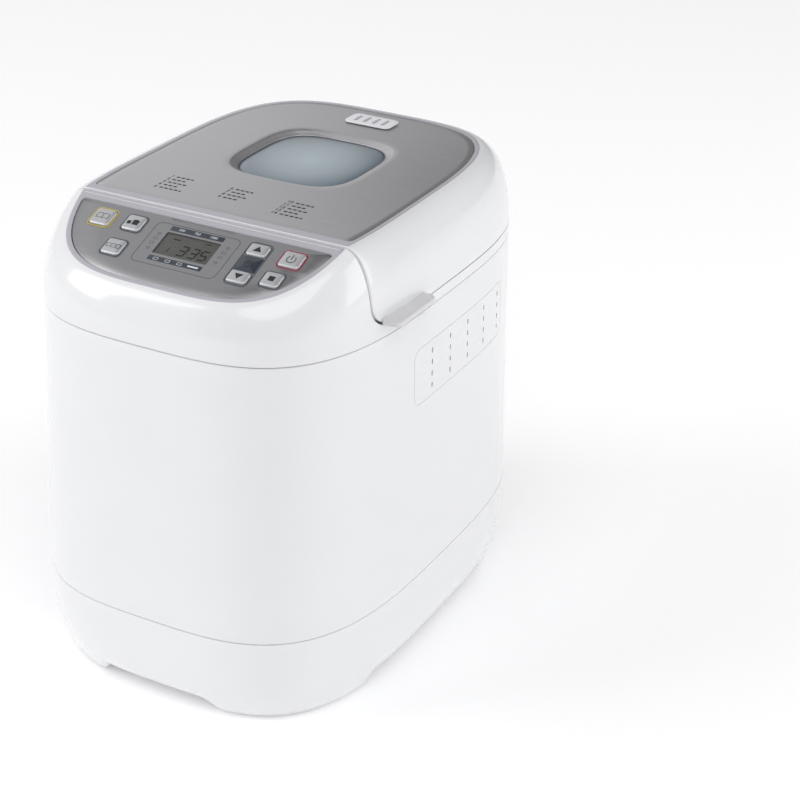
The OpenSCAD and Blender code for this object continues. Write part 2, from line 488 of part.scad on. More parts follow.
base_tray();
rubber_feet();
base_screws();
body_shell();
control_housing();
top_deck();
control_fascia();
lcd_lens();
lcd_module();
control_pcb();
key_switches();
clock_tile();
menu_button();
loaf_size_button();
crust_button();
up_button();
down_button();
start_button();
stop_button();
lid_shell();
lid_top_panel();
window_bezel();
window_glass();
lid_vent_plate();
lid_liner();
lid_seal();
lid_grips();
hinge_pin();
deck_hinge_knuckles();
lid_hinge_knuckles();
baking_chamber();
heating_element();
temperature_sensor();
pan_seat_ring();
chassis_plate();
shaft_bearing();
drive_shaft();
large_pulley();
drive_dog();
drive_belt();
motor();
motor_shaft();
motor_pulley();
motor_screws();
power_board();
cord_gland();
bread_pan();
pan_base_ring();
pan_bushing();
shaft_seal();
pan_bail();
pan_shaft();
pan_coupler();
kneading_paddle();
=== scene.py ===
import bpy
import bmesh
import json
import math
import numpy as np
from mathutils import Matrix, Vector


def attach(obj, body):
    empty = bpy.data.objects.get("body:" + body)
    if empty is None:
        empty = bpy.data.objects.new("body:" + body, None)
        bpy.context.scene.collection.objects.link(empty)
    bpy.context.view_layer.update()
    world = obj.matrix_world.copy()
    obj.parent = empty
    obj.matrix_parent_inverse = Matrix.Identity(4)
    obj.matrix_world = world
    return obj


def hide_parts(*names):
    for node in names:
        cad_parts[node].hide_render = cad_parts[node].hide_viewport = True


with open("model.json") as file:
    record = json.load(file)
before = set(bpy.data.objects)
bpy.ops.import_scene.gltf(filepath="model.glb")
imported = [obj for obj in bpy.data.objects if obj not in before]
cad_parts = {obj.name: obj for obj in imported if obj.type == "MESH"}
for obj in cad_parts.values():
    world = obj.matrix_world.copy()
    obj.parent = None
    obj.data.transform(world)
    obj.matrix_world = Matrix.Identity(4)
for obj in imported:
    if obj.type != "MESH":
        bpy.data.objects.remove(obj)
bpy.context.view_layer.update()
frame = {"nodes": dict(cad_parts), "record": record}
nodes = frame["nodes"]
sc = bpy.context.scene
MM = 0.001

# ------------------------------------------------------------------ camera
R = Vector((0.88202, 0.47065, 0.02303)).normalized()
B = Vector((0.41040, -0.79129, 0.45325)).normalized()
U = B.cross(R).normalized()
cam_data = bpy.data.cameras.new("camera")
cam_data.sensor_width = 36
cam_data.lens = 88.44
cam_data.clip_end = 50
cam = bpy.data.objects.new("camera", cam_data)
cam.matrix_world = Matrix(((R.x, U.x, B.x, 0.58428), (R.y, U.y, B.y, -0.96955), (R.z, U.z, B.z, 0.71560), (0, 0, 0, 1)))
sc.collection.objects.link(cam)
sc.camera = cam


# ------------------------------------------------------------------ materials
def rgba(c):
    return (c[0], c[1], c[2], 1.0)


def material(name, base, rough, metallic=0.0, spread=0.03, scale=(60, 60, 60), detail=3.0, bump=0.02, bump_scale=None,
             rough_spread=0.04, coat=0.0, coat_rough=0.08, alpha=1.0, transmission=0.0, aniso=0.0, dist=0.0004):
    m = bpy.data.materials.new(name)
    m.use_nodes = True
    nt = m.node_tree
    bs = nt.nodes["Principled BSDF"]
    tc = nt.nodes.new("ShaderNodeTexCoord")
    mp = nt.nodes.new("ShaderNodeMapping")
    mp.inputs["Scale"].default_value = scale
    nt.links.new(tc.outputs["Object"], mp.inputs["Vector"])
    nz = nt.nodes.new("ShaderNodeTexNoise")
    nz.inputs["Scale"].default_value = 1.0
    nz.inputs["Detail"].default_value = detail
    nt.links.new(mp.outputs["Vector"], nz.inputs["Vector"])
    cr = nt.nodes.new("ShaderNodeValToRGB")
    cr.color_ramp.elements[0].position = 0.3
    cr.color_ramp.elements[1].position = 0.7
    cr.color_ramp.elements[0].color = rgba([max(0, c * (1 - spread)) for c in base])
    cr.color_ramp.elements[1].color = rgba([min(1, c * (1 + spread)) for c in base])
    nt.links.new(nz.outputs["Fac"], cr.inputs["Fac"])
    nt.links.new(cr.outputs["Color"], bs.inputs["Base Color"])
    mr = nt.nodes.new("ShaderNodeMapRange")
    mr.inputs["From Min"].default_value = 0.3
    mr.inputs["From Max"].default_value = 0.7
    mr.inputs["To Min"].default_value = max(0.02, rough - rough_spread)
    mr.inputs["To Max"].default_value = min(1, rough + rough_spread)
    nt.links.new(nz.outputs["Fac"], mr.inputs["Value"])
    nt.links.new(mr.outputs["Result"], bs.inputs["Roughness"])
    if bump:
        src = nz
        if bump_scale:
            mp2 = nt.nodes.new("ShaderNodeMapping")
            mp2.inputs["Scale"].default_value = bump_scale
            nt.links.new(tc.outputs["Object"], mp2.inputs["Vector"])
            src = nt.nodes.new("ShaderNodeTexNoise")
            src.inputs["Scale"].default_value = 1.0
            src.inputs["Detail"].default_value = 2.0
            nt.links.new(mp2.outputs["Vector"], src.inputs["Vector"])
        bp = nt.nodes.new("ShaderNodeBump")
        bp.inputs["Strength"].default_value = bump
        bp.inputs["Distance"].default_value = dist
        nt.links.new(src.outputs["Fac"], bp.inputs["Height"])
        nt.links.new(bp.outputs["Normal"], bs.inputs["Normal"])
    bs.inputs["Metallic"].default_value = metallic
    bs.inputs["Coat Weight"].default_value = coat
    bs.inputs["Coat Roughness"].default_value = coat_rough
    bs.inputs["Alpha"].default_value = alpha
    bs.inputs["Transmission Weight"].default_value = transmission
    bs.inputs["Anisotropic"].default_value = aniso
    return m


M_WHITE = material("white_gloss", (0.80, 0.805, 0.815), 0.2, spread=0.006, scale=(25, 25, 25), bump=0.05, bump_scale=(260, 260, 260), rough_spread=0.03, coat=0.6, coat_rough=0.04, dist=0.00012)
# grey rim band: painted shade, a darker colour in place of the change of light at the crease between the white shoulder
# and the rim
M_RIM_PAINTED_SHADE = material("rim_painted_shade_grey", (0.46, 0.45, 0.49), 0.38, metallic=0.15, spread=0.01, scale=(40, 40, 40), bump=0.01, rough_spread=0.02, dist=0.00005)
M_DECK = material("deck_white", (0.80, 0.80, 0.815), 0.38, spread=0.01, scale=(40, 40, 40), bump=0.08, bump_scale=(900, 900, 900), dist=0.0001)
M_GRIP = material("grip_grey", (0.68, 0.68, 0.695), 0.34, spread=0.02, scale=(90, 90, 90), bump=0.06, bump_scale=(1100, 1100, 1100), dist=0.0001)
M_LID = material("lid_brushed", (0.52, 0.51, 0.52), 0.34, metallic=0.85, spread=0.075, scale=(22, 1500, 60), detail=4, bump=0.05, rough_spread=0.06, dist=0.0001)
M_PANEL = material("panel_brushed", (0.33, 0.33, 0.34), 0.34, metallic=0.85, spread=0.06, scale=(30, 1400, 1400), detail=4, bump=0.05, rough_spread=0.06, dist=0.0001)
M_KEY = material("key_silver", (0.50, 0.505, 0.52), 0.32, metallic=0.5, spread=0.012, scale=(60, 60, 60), bump=0.01, rough_spread=0.02, coat=0.15, dist=0.00005)
M_VENT = material("vent_plate", (0.74, 0.74, 0.77), 0.3, spread=0.012, scale=(120, 120, 120), bump=0.05, bump_scale=(900, 900, 900), dist=0.0001)
M_GASKET = material("window_gasket", (0.12, 0.125, 0.14), 0.45, spread=0.05, scale=(200, 200, 200), bump=0.05, dist=0.0001)
# near-black painted shade for the walls of the vent slots, given to the slot cutters
M_SLOT_PAINTED_SHADE = material("slot_painted_shade", (0.05, 0.05, 0.055), 0.6, spread=0.08, scale=(300, 300, 300), bump=0.05, dist=0.0001)
M_INK = material("ink_dark", (0.012, 0.013, 0.015), 0.5, spread=0.1, scale=(500, 500, 500), bump=0.03, dist=0.00005)
M_INKMID = material("ink_mid", (0.10, 0.105, 0.12), 0.5, spread=0.08, scale=(500, 500, 500), bump=0.03, dist=0.00005)
M_INKLIGHT = material("ink_light", (0.66, 0.68, 0.70), 0.5, spread=0.04, scale=(500, 500, 500), bump=0.03, dist=0.00005)
M_BAR = material("display_bar", (0.035, 0.045, 0.06), 0.4, spread=0.06, scale=(300, 300, 300), bump=0.03, dist=0.00005)
M_LCD = material("lcd_face", (0.12, 0.123, 0.112), 0.5, spread=0.05, scale=(120, 120, 120), bump=0.02, dist=0.00005)
M_LCDGLASS = material("lcd_cover", (0.02, 0.02, 0.02), 0.1, spread=0.01, scale=(80, 80, 80), bump=0.01, alpha=0.08, dist=0.00005, rough_spread=0.01)
M_CLOCK = material("clock_tile", (0.025, 0.034, 0.048), 0.34, spread=0.05, scale=(200, 200, 200), bump=0.03, coat=0.3, dist=0.00005)
M_YELLOW = material("trim_yellow", (0.52, 0.40, 0.07), 0.35, spread=0.04, scale=(200, 200, 200), bump=0.02, dist=0.00005)
M_RED = material("trim_red", (0.30, 0.045, 0.085), 0.35, spread=0.04, scale=(200, 200, 200), bump=0.02, dist=0.00005)
M_TRIM = material("trim_grey", (0.09, 0.095, 0.12), 0.36, spread=0.05, scale=(200, 200, 200), bump=0.02, dist=0.00005)


def window_painted_light_material():
    """frosted pane: pale blue-grey, with a painted highlight that makes it lighter in the middle and painted shade that
    makes it darker towards its edge
    """
    m = bpy.data.materials.new("window_frosted")
    m.use_nodes = True
    nt = m.node_tree
    bs = nt.nodes["Principled BSDF"]
    tc = nt.nodes.new("ShaderNodeTexCoord")
    mp = nt.nodes.new("ShaderNodeMapping")
    mp.inputs["Location"].default_value = (0, -0.030 / 0.0418, 0)
    mp.inputs["Scale"].default_value = (1 / 0.038, 1 / 0.0418, 0)
    nt.links.new(tc.outputs["Object"], mp.inputs["Vector"])
    gr = nt.nodes.new("ShaderNodeVectorMath")
    gr.operation = "LENGTH"
    nt.links.new(mp.outputs["Vector"], gr.inputs[0])
    # painted highlight and painted shade: the base colour runs from light at the pane's centre to dark at its edge
    cr = nt.nodes.new("ShaderNodeValToRGB")
    e = cr.color_ramp.elements
    e[0].position = 0.0
    e[0].color = (0.40, 0.49, 0.54, 1)
    e[1].position = 1.0
    e[1].color = (0.17, 0.22, 0.26, 1)
    mid = e.new(0.62)
    mid.color = (0.30, 0.37, 0.41, 1)
    nt.links.new(gr.outputs["Value"], cr.inputs["Fac"])
    nt.links.new(cr.outputs["Color"], bs.inputs["Base Color"])
    nz = nt.nodes.new("ShaderNodeTexNoise")
    nz.inputs["Scale"].default_value = 900
    nt.links.new(tc.outputs["Object"], nz.inputs["Vector"])
    mr = nt.nodes.new("ShaderNodeMapRange")
    mr.inputs["To Min"].default_value = 0.28
    mr.inputs["To Max"].default_value = 0.40
    nt.links.new(nz.outputs["Fac"], mr.inputs["Value"])
    nt.links.new(mr.outputs["Result"], bs.inputs["Roughness"])
    bs.inputs["Transmission Weight"].default_value = 0.15
    bs.inputs["Coat Weight"].default_value = 0.5
    bs.inputs["Coat Roughness"].default_value = 0.12
    return m


M_WINDOW_PAINTED_LIGHT = window_painted_light_material()

# CAD pieces that stay, by record slot
INNER = {
    "body_white": M_WHITE, "base_white": M_WHITE, "deck_white": M_DECK,
    "foot_rubber": material("foot_rubber", (0.035, 0.035, 0.038), 0.72, spread=0.1, scale=(300, 300, 300), bump=0.2, rough_spread=0.08),
    "seal_rubber": material("seal_silicone", (0.30, 0.31, 0.32), 0.6, spread=0.05, scale=(200, 200, 200), bump=0.1),
    "screw_steel": material("zinc_steel", (0.62, 0.63, 0.65), 0.3, metallic=1, spread=0.06, scale=(400, 400, 90), bump=0.06),
    "chamber_metal": material("aluminised_sheet", (0.62, 0.63, 0.64), 0.36, metallic=1, spread=0.06, scale=(40, 40, 800), bump=0.05, rough_spread=0.08),
    "liner_metal": material("liner_sheet", (0.66, 0.67, 0.68), 0.32, metallic=1, spread=0.05, scale=(600, 40, 40), bump=0.05, rough_spread=0.08),
    "element_steel": material("element_tube", (0.20, 0.18, 0.165), 0.48, metallic=0.8, spread=0.2, scale=(90, 90, 90), bump=0.15),
    "chassis_steel": material("galvanised_sheet", (0.55, 0.56, 0.58), 0.42, metallic=1, spread=0.14, scale=(110, 110, 110), detail=6, bump=0.05),
    "bearing_brass": material("sintered_bronze", (0.55, 0.42, 0.22), 0.42, metallic=1, spread=0.1, scale=(500, 500, 500), bump=0.15),
    "pulley_plastic": material("nylon", (0.78, 0.77, 0.72), 0.5, spread=0.03, scale=(200, 200, 200), bump=0.08),
    "coupler_metal": material("die_cast", (0.46, 0.47, 0.49), 0.46, metallic=0.95, spread=0.08, scale=(260, 260, 260), bump=0.15),
    "motor_steel": material("motor_can", (0.24, 0.25, 0.27), 0.42, metallic=0.5, spread=0.05, scale=(200, 200, 200), bump=0.08),
    "pan_nonstick": material("nonstick_coating", (0.075, 0.075, 0.08), 0.46, metallic=0.25, spread=0.25, scale=(900, 900, 900), detail=2, bump=0.12, rough_spread=0.08),
    "bail_steel": material("bright_wire", (0.72, 0.72, 0.73), 0.2, metallic=1, spread=0.03, scale=(300, 300, 300), bump=0.03),
    "pcb_green": material("circuit_board", (0.03, 0.15, 0.06), 0.4, spread=0.25, scale=(500, 500, 500), bump=0.05),
    "board_brown": material("phenolic_board", (0.30, 0.20, 0.10), 0.5, spread=0.2, scale=(300, 300, 300), bump=0.06),
    "dark_plastic": material("black_plastic", (0.03, 0.03, 0.033), 0.45, spread=0.1, scale=(300, 300, 300), bump=0.08),
    "lcd_body": M_LCD, "lcd_glass": M_LCDGLASS, "clock_blue": M_CLOCK, "key_silver": M_KEY, "vent_grey": M_VENT,
    "bezel_grey": M_GASKET, "window_frosted": M_WINDOW_PAINTED_LIGHT, "lid_silver": M_LID, "fascia_silver": M_PANEL, "grip_grey": M_GRIP,
}
for sub in frame["record"]["subparts"]:
    o = nodes[sub["node"]]
    o.data.materials.clear()
    o.data.materials.append(INNER[sub["material_slot"]])


# ------------------------------------------------------------------ mesh helpers
def shade(me, angle=35):
    me.polygons.foreach_set("use_smooth", [True] * len(me.polygons))
    me.set_sharp_from_angle(angle=math.radians(angle))
    me.update()


def make(name, verts, faces, mats, mi=None, fix=True, angle=35):
    me = bpy.data.meshes.new(name)
    me.from_pydata([tuple(v) for v in np.asarray(verts, float) * MM], [], [tuple(int(i) for i in f) for f in faces])
    for m in mats:
        me.materials.append(m)
    if mi is not None:
        me.polygons.foreach_set("material_index", list(mi))
    if fix:
        bm = bmesh.new()
        bm.from_mesh(me)
        bmesh.ops.recalc_face_normals(bm, faces=bm.faces)
        bm.to_mesh(me)
        bm.free()
    shade(me, angle)
    ob = bpy.data.objects.new(name, me)
    sc.collection.objects.link(ob)
    return ob


def quads(rows, closed=True):
    out = []
    for j in range(len(rows) - 1):
        a, b = rows[j], rows[j + 1]
        k = len(a)
        for i in range(k if closed else k - 1):
            i2 = (i + 1) % k
            out.append((a[i], a[i2], b[i2], b[i]))
    return out


def loft(name, rings, mats, cycle=False, caps=(True, True), mat_of=None, angle=35, fan=True):
    """rings of equal length, closed round; cycle joins the last ring to the first, else the ends are capped"""
    rr = np.array(rings, float)
    m, k = rr.shape[:2]
    verts = rr.reshape(-1, 3)
    rows = [list(range(j * k, j * k + k)) for j in range(m)]
    if cycle:
        rows.append(rows[0])
    faces = quads(rows)
    mi = [0 if mat_of is None else mat_of(q // k) for q in range(len(faces))]
    if not cycle:
        for end, on in ((0, caps[0]), (m - 1, caps[1])):
            if on:
                c = rr[end].mean(0)
                verts = np.vstack([verts, c])
                ci = len(verts) - 1
                base = end * k
                for i in range(k):
                    i2 = (i + 1) % k
                    faces.append((base + i2, base + i, ci) if end == 0 else (base + i, base + i2, ci))
                    mi.append(0 if mat_of is None else mat_of(min(end, m - 2)))
    return make(name, verts, faces, mats, mi, True, angle)


def apply_mods(ob, angle=35):
    dg = bpy.context.evaluated_depsgraph_get()
    me = bpy.data.meshes.new_from_object(ob.evaluated_get(dg))
    ob.modifiers.clear()
    old = ob.data
    ob.data = me
    bpy.data.meshes.remove(old)
    shade(me, angle)
    return ob


def cut(ob, cutters, op="DIFFERENCE", angle=35):
    for c in cutters:
        m = ob.modifiers.new("cut", "BOOLEAN")
        m.operation = op
        m.solver = "EXACT"
        m.object = c
    apply_mods(ob, angle)
    for c in cutters:
        bpy.data.objects.remove(c)
    return ob


def join(name, obs):
    """one object from several, keeping their materials"""
    verts, faces, mi, mats = [], [], [], []
    for o in obs:
        base = len(verts)
        verts += [tuple(v.co) for v in o.data.vertices]
        remap = []
        for m in o.data.materials:
            if m not in mats:
                mats.append(m)
            remap.append(mats.index(m))
        for p in o.data.polygons:
            faces.append([base + i for i in p.vertices])
            mi.append(remap[p.material_index] if remap else 0)
        bpy.data.objects.remove(o)
    return make(name, np.array(verts) * 1000, faces, mats, mi, False)


def put(ob, body, slot, *replaced):
    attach(ob, body)
    if replaced:
        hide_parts(*replaced)
    return ob


def resample(p, n):
    """n+1 points at even arc length along the open line p, its ends kept"""
    seg = np.linalg.norm(np.diff(p, axis=0), axis=1)
    s = np.r_[0, np.cumsum(seg)]
    t = np.linspace(0, s[-1], n + 1)
    return np.stack([np.interp(t, s, p[:, i]) for i in range(p.shape[1])], -1)


def sup(t, a, b, yc, n, m):
    c, s = np.cos(t), np.sin(t)
    return np.stack([a * np.sign(c) * np.abs(c) ** (2 / n), yc + b * np.sign(s) * np.abs(s) ** (2 / m)], -1)


def full_ring(a, b, yc, n, m, k=320):
    return resample(sup(np.linspace(0, 2 * np.pi, 4001), a, b, yc, n, m), k)[:-1]


def at_z(p, z):
    p = np.asarray(p)
    return np.c_[p, np.full(len(p), z) if np.isscalar(z) else z]


# ------------------------------------------------------------------ the outer form, as in the CAD
SEAM, LIDZ, TAN = 240.3, 294.6, math.tan(math.radians(21))


def e_of(h):
    return 1 - (1 - min(1.0, max(0.0, h)) ** 2.2) ** 0.526


def shp(h):
    e = e_of(h)
    return 112 - 19 * e, 156 - 18 * e, -6.2 * e, 3.3 + 0.5 * e, 3.4 + 0.3 * e


def ztop(y):
    return np.minimum(LIDZ, 294.1 + TAN * (np.asarray(y) + 85))


def zrow(y, h):
    return SEAM + (ztop(y) - SEAM) * h


def foot(s, d=0.0, k=320):
    return full_ring(112 * s - d, 156 * s - d, 0, 3.25, 3.4, k)


def skirt_s(z):
    return 0.931 + 0.104 * (1 - (1 - min(1, max(0, z / 62))) ** 2.3) ** (1 / 1.7)


def body_s(z):
    return 1.035 - 0.035 * (z - 62) / 178.0


def sstep(t):
    t = np.clip(t, 0, 1)
    return t * t * (3 - 2 * t)


# ------------------------------------------------------------------ base
def arch(p):
    x, y = p[:, 0], p[:, 1]
    fr = np.where(x < 0, sstep((48 + x) / 8), sstep((43 - x) / 17)) * (y < -80)
    bk = sstep((45 - np.abs(x)) / 10) * (y > 80)
    sd = sstep((84 - np.abs(y)) / 12) * (np.abs(x) > 60)
    return np.clip(fr + bk + sd, 0, 1)


def base_ring(z, d, s=None):
    p = foot(skirt_s(z) if s is None else s, d)
    return at_z(p, z + 6.2 * arch(p) * np.clip(1 - (z - 1.0) / 16, 0, 1))


rings = [at_z(foot(0.90, 30), 9.5), at_z(foot(0.925, 6), 9.5), at_z(foot(0.931, 3.4), 8.9), base_ring(2.0, 3.2, 0.931), base_ring(0.9, 2.4, 0.931), base_ring(0.7, 1.4, 0.931), base_ring(1.0, 0.4, 0.931)]
rings += [base_ring(z, 0) for z in (1.6, 3, 5, 7, 9.5, 12, 15, 18, 22, 26, 30, 34, 38, 42, 46, 50, 54, 58, 60.6)]
rings += [at_z(foot(skirt_s(61.2), 0.12), 61.25), at_z(foot(1.035, 0.55), 61.55), at_z(foot(1.035, 1.3), 61.6), at_z(foot(1.035, 1.3), 63.0), at_z(foot(1.035, 2.5), 63.0)]
rings += [at_z(foot(skirt_s(z), 2.5), z) for z in (56, 46, 34, 22, 14)] + [at_z(foot(0.90, 10), 12), at_z(foot(0.90, 30), 12)]
base = loft("base_skirt", rings, [M_WHITE])
hole = loft("hole", [[(-40 + 6 * math.cos(t), y, 38 + 6 * math.sin(t)) for t in np.linspace(0, 2 * math.pi, 49)[:-1]] for y in (130, 175)], [M_WHITE])
cut(base, [hole])
put(base, "root", "base_white", "base_tray")

# ------------------------------------------------------------------ body shell with vent field
rings = [at_z(foot(1.035, 1.2), 62.0), at_z(foot(1.035, 0.55), 62.0), at_z(foot(1.035, 0.12), 62.3), at_z(foot(1.035, 0), 62.9)]
rings += [at_z(foot(body_s(z)), z) for z in np.linspace(72, 232, 17)]
rings += [at_z(foot(body_s(238.9)), 238.9), at_z(foot(1.0, 0.12), 239.6), at_z(foot(1.0, 0.55), 239.9), at_z(foot(1, 1.3), 239.95), at_z(foot(1, 1.3), 241.3), at_z(foot(1, 2.5), 241.3)]
rings += [at_z(foot(body_s(z), 2.5), z) for z in (232, 150, 72)] + [at_z(foot(1.035, 2.5), 63.4), at_z(foot(1.035, 1.2), 63.4)]
body = loft("body_outer", rings, [M_WHITE], cycle=True)


def side_x(y, z):
    s = body_s(z)
    return 112 * s * (1 - (abs(y) / (156 * s)) ** 3.4) ** (1 / 3.25)


cutters = []
for sgn in (-1, 1):
    # field outline, a closed groove with rounded corners
    y0, y1, z0, z1, r = -42, 84, 181, 217.5, 7
    path = []
    for cy, cz, a0 in ((y1 - r, z1 - r, 0), (y0 + r, z1 - r, 90), (y0 + r, z0 + r, 180), (y1 - r, z0 + r, 270)):
        path += [(cy + r * math.cos(math.radians(a0 + q)), cz + r * math.sin(math.radians(a0 + q)), math.radians(a0 + q)) for q in range(0, 91, 10)]
    dense = []
    for i in range(len(path)):
        p, q = path[i], path[(i + 1) % len(path)]
        n = max(1, int(math.hypot(q[0] - p[0], q[1] - p[1]) / 6))
        dense += [tuple(p[c] + (q[c] - p[c]) * j / n for c in (0, 1)) + (p[2],) for j in range(n)]
    rr = [[], [], [], []]
    for (y, z, a) in dense:
        for w, dx, k in ((-0.3, -0.32, 0), (0.3, -0.32, 1), (0.3, 3, 2), (-0.3, 3, 3)):
            yy, zz = y + w * math.cos(a), z + w * math.sin(a)
            rr[k].append((sgn * (side_x(yy, zz) + dx), yy, zz))
    cutters.append(loft("groove", rr, [M_WHITE], cycle=True))
    for j in range(5):  # fine ribs between the rows of slots
        zc = 214.3 - 7.6 * j
        ys = np.linspace(y0 + 4, y1 - 4, 36)
        pts = [[(sgn * (side_x(y, zc) + dx), y, zc + w) for (dx, w) in ((-0.22, 0), (3, 0.5), (3, -0.5))] for y in ys]
        cutters.append(loft("rib", pts, [M_WHITE]))
    slots = []
    for c in range(5):
        for q in range(4):
            y, z = -19.6 + 23.9 * c, 210.5 - 7.6 * q
            outline = [(y + 0.9 * math.cos(t), z + (0.9 if math.sin(t) > 0 else -0.9) + 0.9 * math.sin(t)) for t in np.linspace(0.01, 2 * math.pi + 0.01, 17)[:-1]]
            slots.append(loft("slot", [[(sgn * x, a, b) for a, b in outline] for x in (98, 122)], [M_WHITE]))
    cutters.append(join("slots", slots))
cut(body, cutters)
put(body, "root", "body_white", "body_shell")


# ------------------------------------------------------------------ rings split at the line between housing and lid
def arc(h, d, ys, n, back=True):
    a, b, yc, nn, mm = shp(h)
    a, b = a - d, b - d
    t0 = math.asin(min(1, (abs(ys - yc) / b)) ** (mm / 2))
    if ys > yc:
        t0 = -t0
    t = np.linspace(-t0, math.pi + t0, 2500) if back else np.linspace(math.pi + t0, 2 * math.pi - t0, 2500)
    return resample(sup(t, a, b, yc, nn, mm), n)


def x_at(h, d, ys):
    a, b, yc, nn, mm = shp(h)
    return (a - d) * (1 - min(1, abs(ys - yc) / (b - d)) ** mm) ** (1 / nn)


def bez(a, c, b, n):
    t = np.linspace(0, 1, n + 1)[:, None]
    return ((1 - t) ** 2 * a + 2 * t * (1 - t) * c + t ** 2 * b)[1:-1]


def d_back(h, d, ys, r=1.2, n=240, nl=48):
    p = arc(h, d, ys + r, n)
    x = x_at(h, d, ys)
    c = np.array([x, ys])
    line = np.stack([np.linspace(-x + r, x - r, nl + 1), np.full(nl + 1, ys)], -1)
    return np.vstack([p, bez(p[-1], np.array([-x, ys]), line[0], 5), line, bez(line[-1], c, p[0], 5)])


def d_front(h, d, ys, r=1.2, n=170, nl=48):
    p = arc(h, d, ys - r, n, False)
    x = x_at(h, d, ys)
    line = np.stack([np.linspace(x - r, -x + r, nl + 1), np.full(nl + 1, ys)], -1)
    return np.vstack([p, bez(p[-1], np.array([x, ys]), line[0], 5), line, bez(line[-1], np.array([-x, ys]), p[0], 5)])


RY, RZ = 16.0, 14.0


def corner(z, z0, y0):
    if z >= z0 + RZ:
        return y0
    q = (z0 + RZ - z) / RZ
    return y0 + RY * (1 - math.sqrt(max(0, 1 - q * q)))


def solid_sheet(ob, t, bevel=0.0):
    m = ob.modifiers.new("thick", "SOLIDIFY")
    m.thickness = t * MM
    m.offset = -1
    m.use_even_offset = False
    if bevel:
        b = ob.modifiers.new("edge", "BEVEL")
        b.width = bevel * MM
        b.segments = 2
        b.limit_method = "ANGLE"
        b.angle_limit = math.radians(60)
    return apply_mods(ob)


# lid skin
zb, yb = 248.0, -84.1
rows = []
for q in np.linspace(0, 90, 11):
    z = zb + RZ * (1 - math.cos(math.radians(q)))
    y = yb + RY * (1 - math.sin(math.radians(q)))
    rows.append(at_z(d_back((z - SEAM) / (LIDZ - SEAM), 0, y), z))
h1 = (zb + RZ - SEAM) / (LIDZ - SEAM)
th0 = math.asin(h1 ** 1.1)
for th in np.linspace(th0, math.pi / 2, 27)[1:]:
    h = math.sin(th) ** (1 / 1.1)
    rows.append(at_z(d_back(h, 0, yb), SEAM + (LIDZ - SEAM) * h))
nr = len(rows)
rows += [at_z(d_back(1, 0.35, yb + 0.35), LIDZ + 0.28), at_z(d_back(1, 1.6, -81.0, 2.0), LIDZ + 0.42), at_z(d_back(1, 3.0, -76.9, 3.0), LIDZ + 0.3), at_z(d_back(1, 3.2, -76.7, 3.2), LIDZ - 0.9)]
k = len(rows[0])
idx = [list(range(j * k, j * k + k)) for j in range(len(rows))]
fc = quads(idx)
# the rows past the shoulder form the rim and get the grey painted-shade material
lid = make("lid_outer", np.vstack(rows), fc, [M_WHITE, M_RIM_PAINTED_SHADE], [1 if f // k >= nr else 0 for f in range(len(fc))], fix=False)
solid_sheet(lid, 2.4)
notch = loft("notch", [[(-45, 146, z), (45, 146, z), (45, 176, z), (-45, 176, z)] for z in (240.3, 258.5)], [M_WHITE])
cut(lid, [notch])
put(lid, "lid", "body_white", "lid_shell")

# upper housing: band all round, front wall, rim and rear wall in one moulding
zb2, yb2 = 247.2, -85.3
hb = (zb2 - SEAM) / (LIDZ - SEAM)
ys0 = yb2 + RY
NF, NB = 170, 220


def band(h, d, z=None):
    f = arc(h, d, ys0 - 1.2, NF, False)
    b = arc(h, d, ys0 - 1.2, NB, True)
    p = np.vstack([f, b[1:-1]])
    return at_z(p, zrow(p[:, 1], h) if z is None else z)


verts, rows = [], []


def add(ring):
    i = len(verts)
    verts.extend(ring.tolist())
    return list(range(i, i + len(ring)))


bands = [band(0, 1.2, 240.35), band(0, 0.55, 240.35), band(0, 0.12, 240.6), band(0.015, 0), band(0.05, 0), band(0.09, 0)]
rows = [add(b) for b in bands]
faces = quads(rows)
top_band = band(hb, 0)
top_front = add(top_band[:NF + 1])
top_back = add(top_band[NF + 1:])
faces += quads([rows[-1], top_front + top_back])
mi = [0] * len(faces)
drows = []
p = d_front(hb, 0, ys0)
rest = at_z(p, zrow(p[:, 1], hb))[NF + 1:]
drows.append(top_front + add(rest))
for q in np.linspace(0, 90, 11)[1:]:
    z = zb2 + RZ * (1 - math.cos(math.radians(q)))
    y = yb2 + RY * (1 - math.sin(math.radians(q)))
    h = (z - SEAM) / (LIDZ - SEAM)
    p = d_front(h, 0, y)
    drows.append(add(at_z(p, zrow(p[:, 1], h))))
th0 = math.asin(((zb2 + RZ - SEAM) / (LIDZ - SEAM)) ** 1.1)
for th in np.linspace(th0, math.pi / 2, 27)[1:]:
    h = math.sin(th) ** (1 / 1.1)
    p = d_front(h, 0, yb2)
    drows.append(add(at_z(p, zrow(p[:, 1], h))))
nw = len(drows)
for d, y, r, dz in ((0.35, yb2 - 0.35, 1.2, 0.28), (1.5, -88.0, 2, 0.42), (2.9, -91.2, 3, 0.3), (3.1, -91.4, 3.2, -0.9)):
    p = d_front(1, d, y, r)
    drows.append(add(at_z(p, ztop(p[:, 1]) - (0.0 if d < 1 else 0.0) + dz)))
f2 = quads(drows)
kk = len(drows[0])
faces += f2
# the rim rows get the grey painted-shade material
mi += [1 if f // kk >= nw - 1 + 1 else 0 for f in range(len(f2))]
housing = make("upper_housing", verts, faces, [M_WHITE, M_RIM_PAINTED_SHADE], mi, fix=False)
solid_sheet(housing, 2.4)
put(housing, "root", "body_white", "control_housing")

# deck plate round the mouth of the chamber, seen when the lid is up
def rr_outline(w, h, r, n=10, cx=0.0, cy=0.0):
    out = []
    for sx, sy, a0 in ((1, 1, 0), (-1, 1, 90), (-1, -1, 180), (1, -1, 270)):
        for q in np.linspace(0, 90, n):
            a = math.radians(a0 + q)
            out.append((cx + sx * (w / 2 - r) + r * math.cos(a), cy + sy * (h / 2 - r) + r * math.sin(a)))
    return np.array(out)


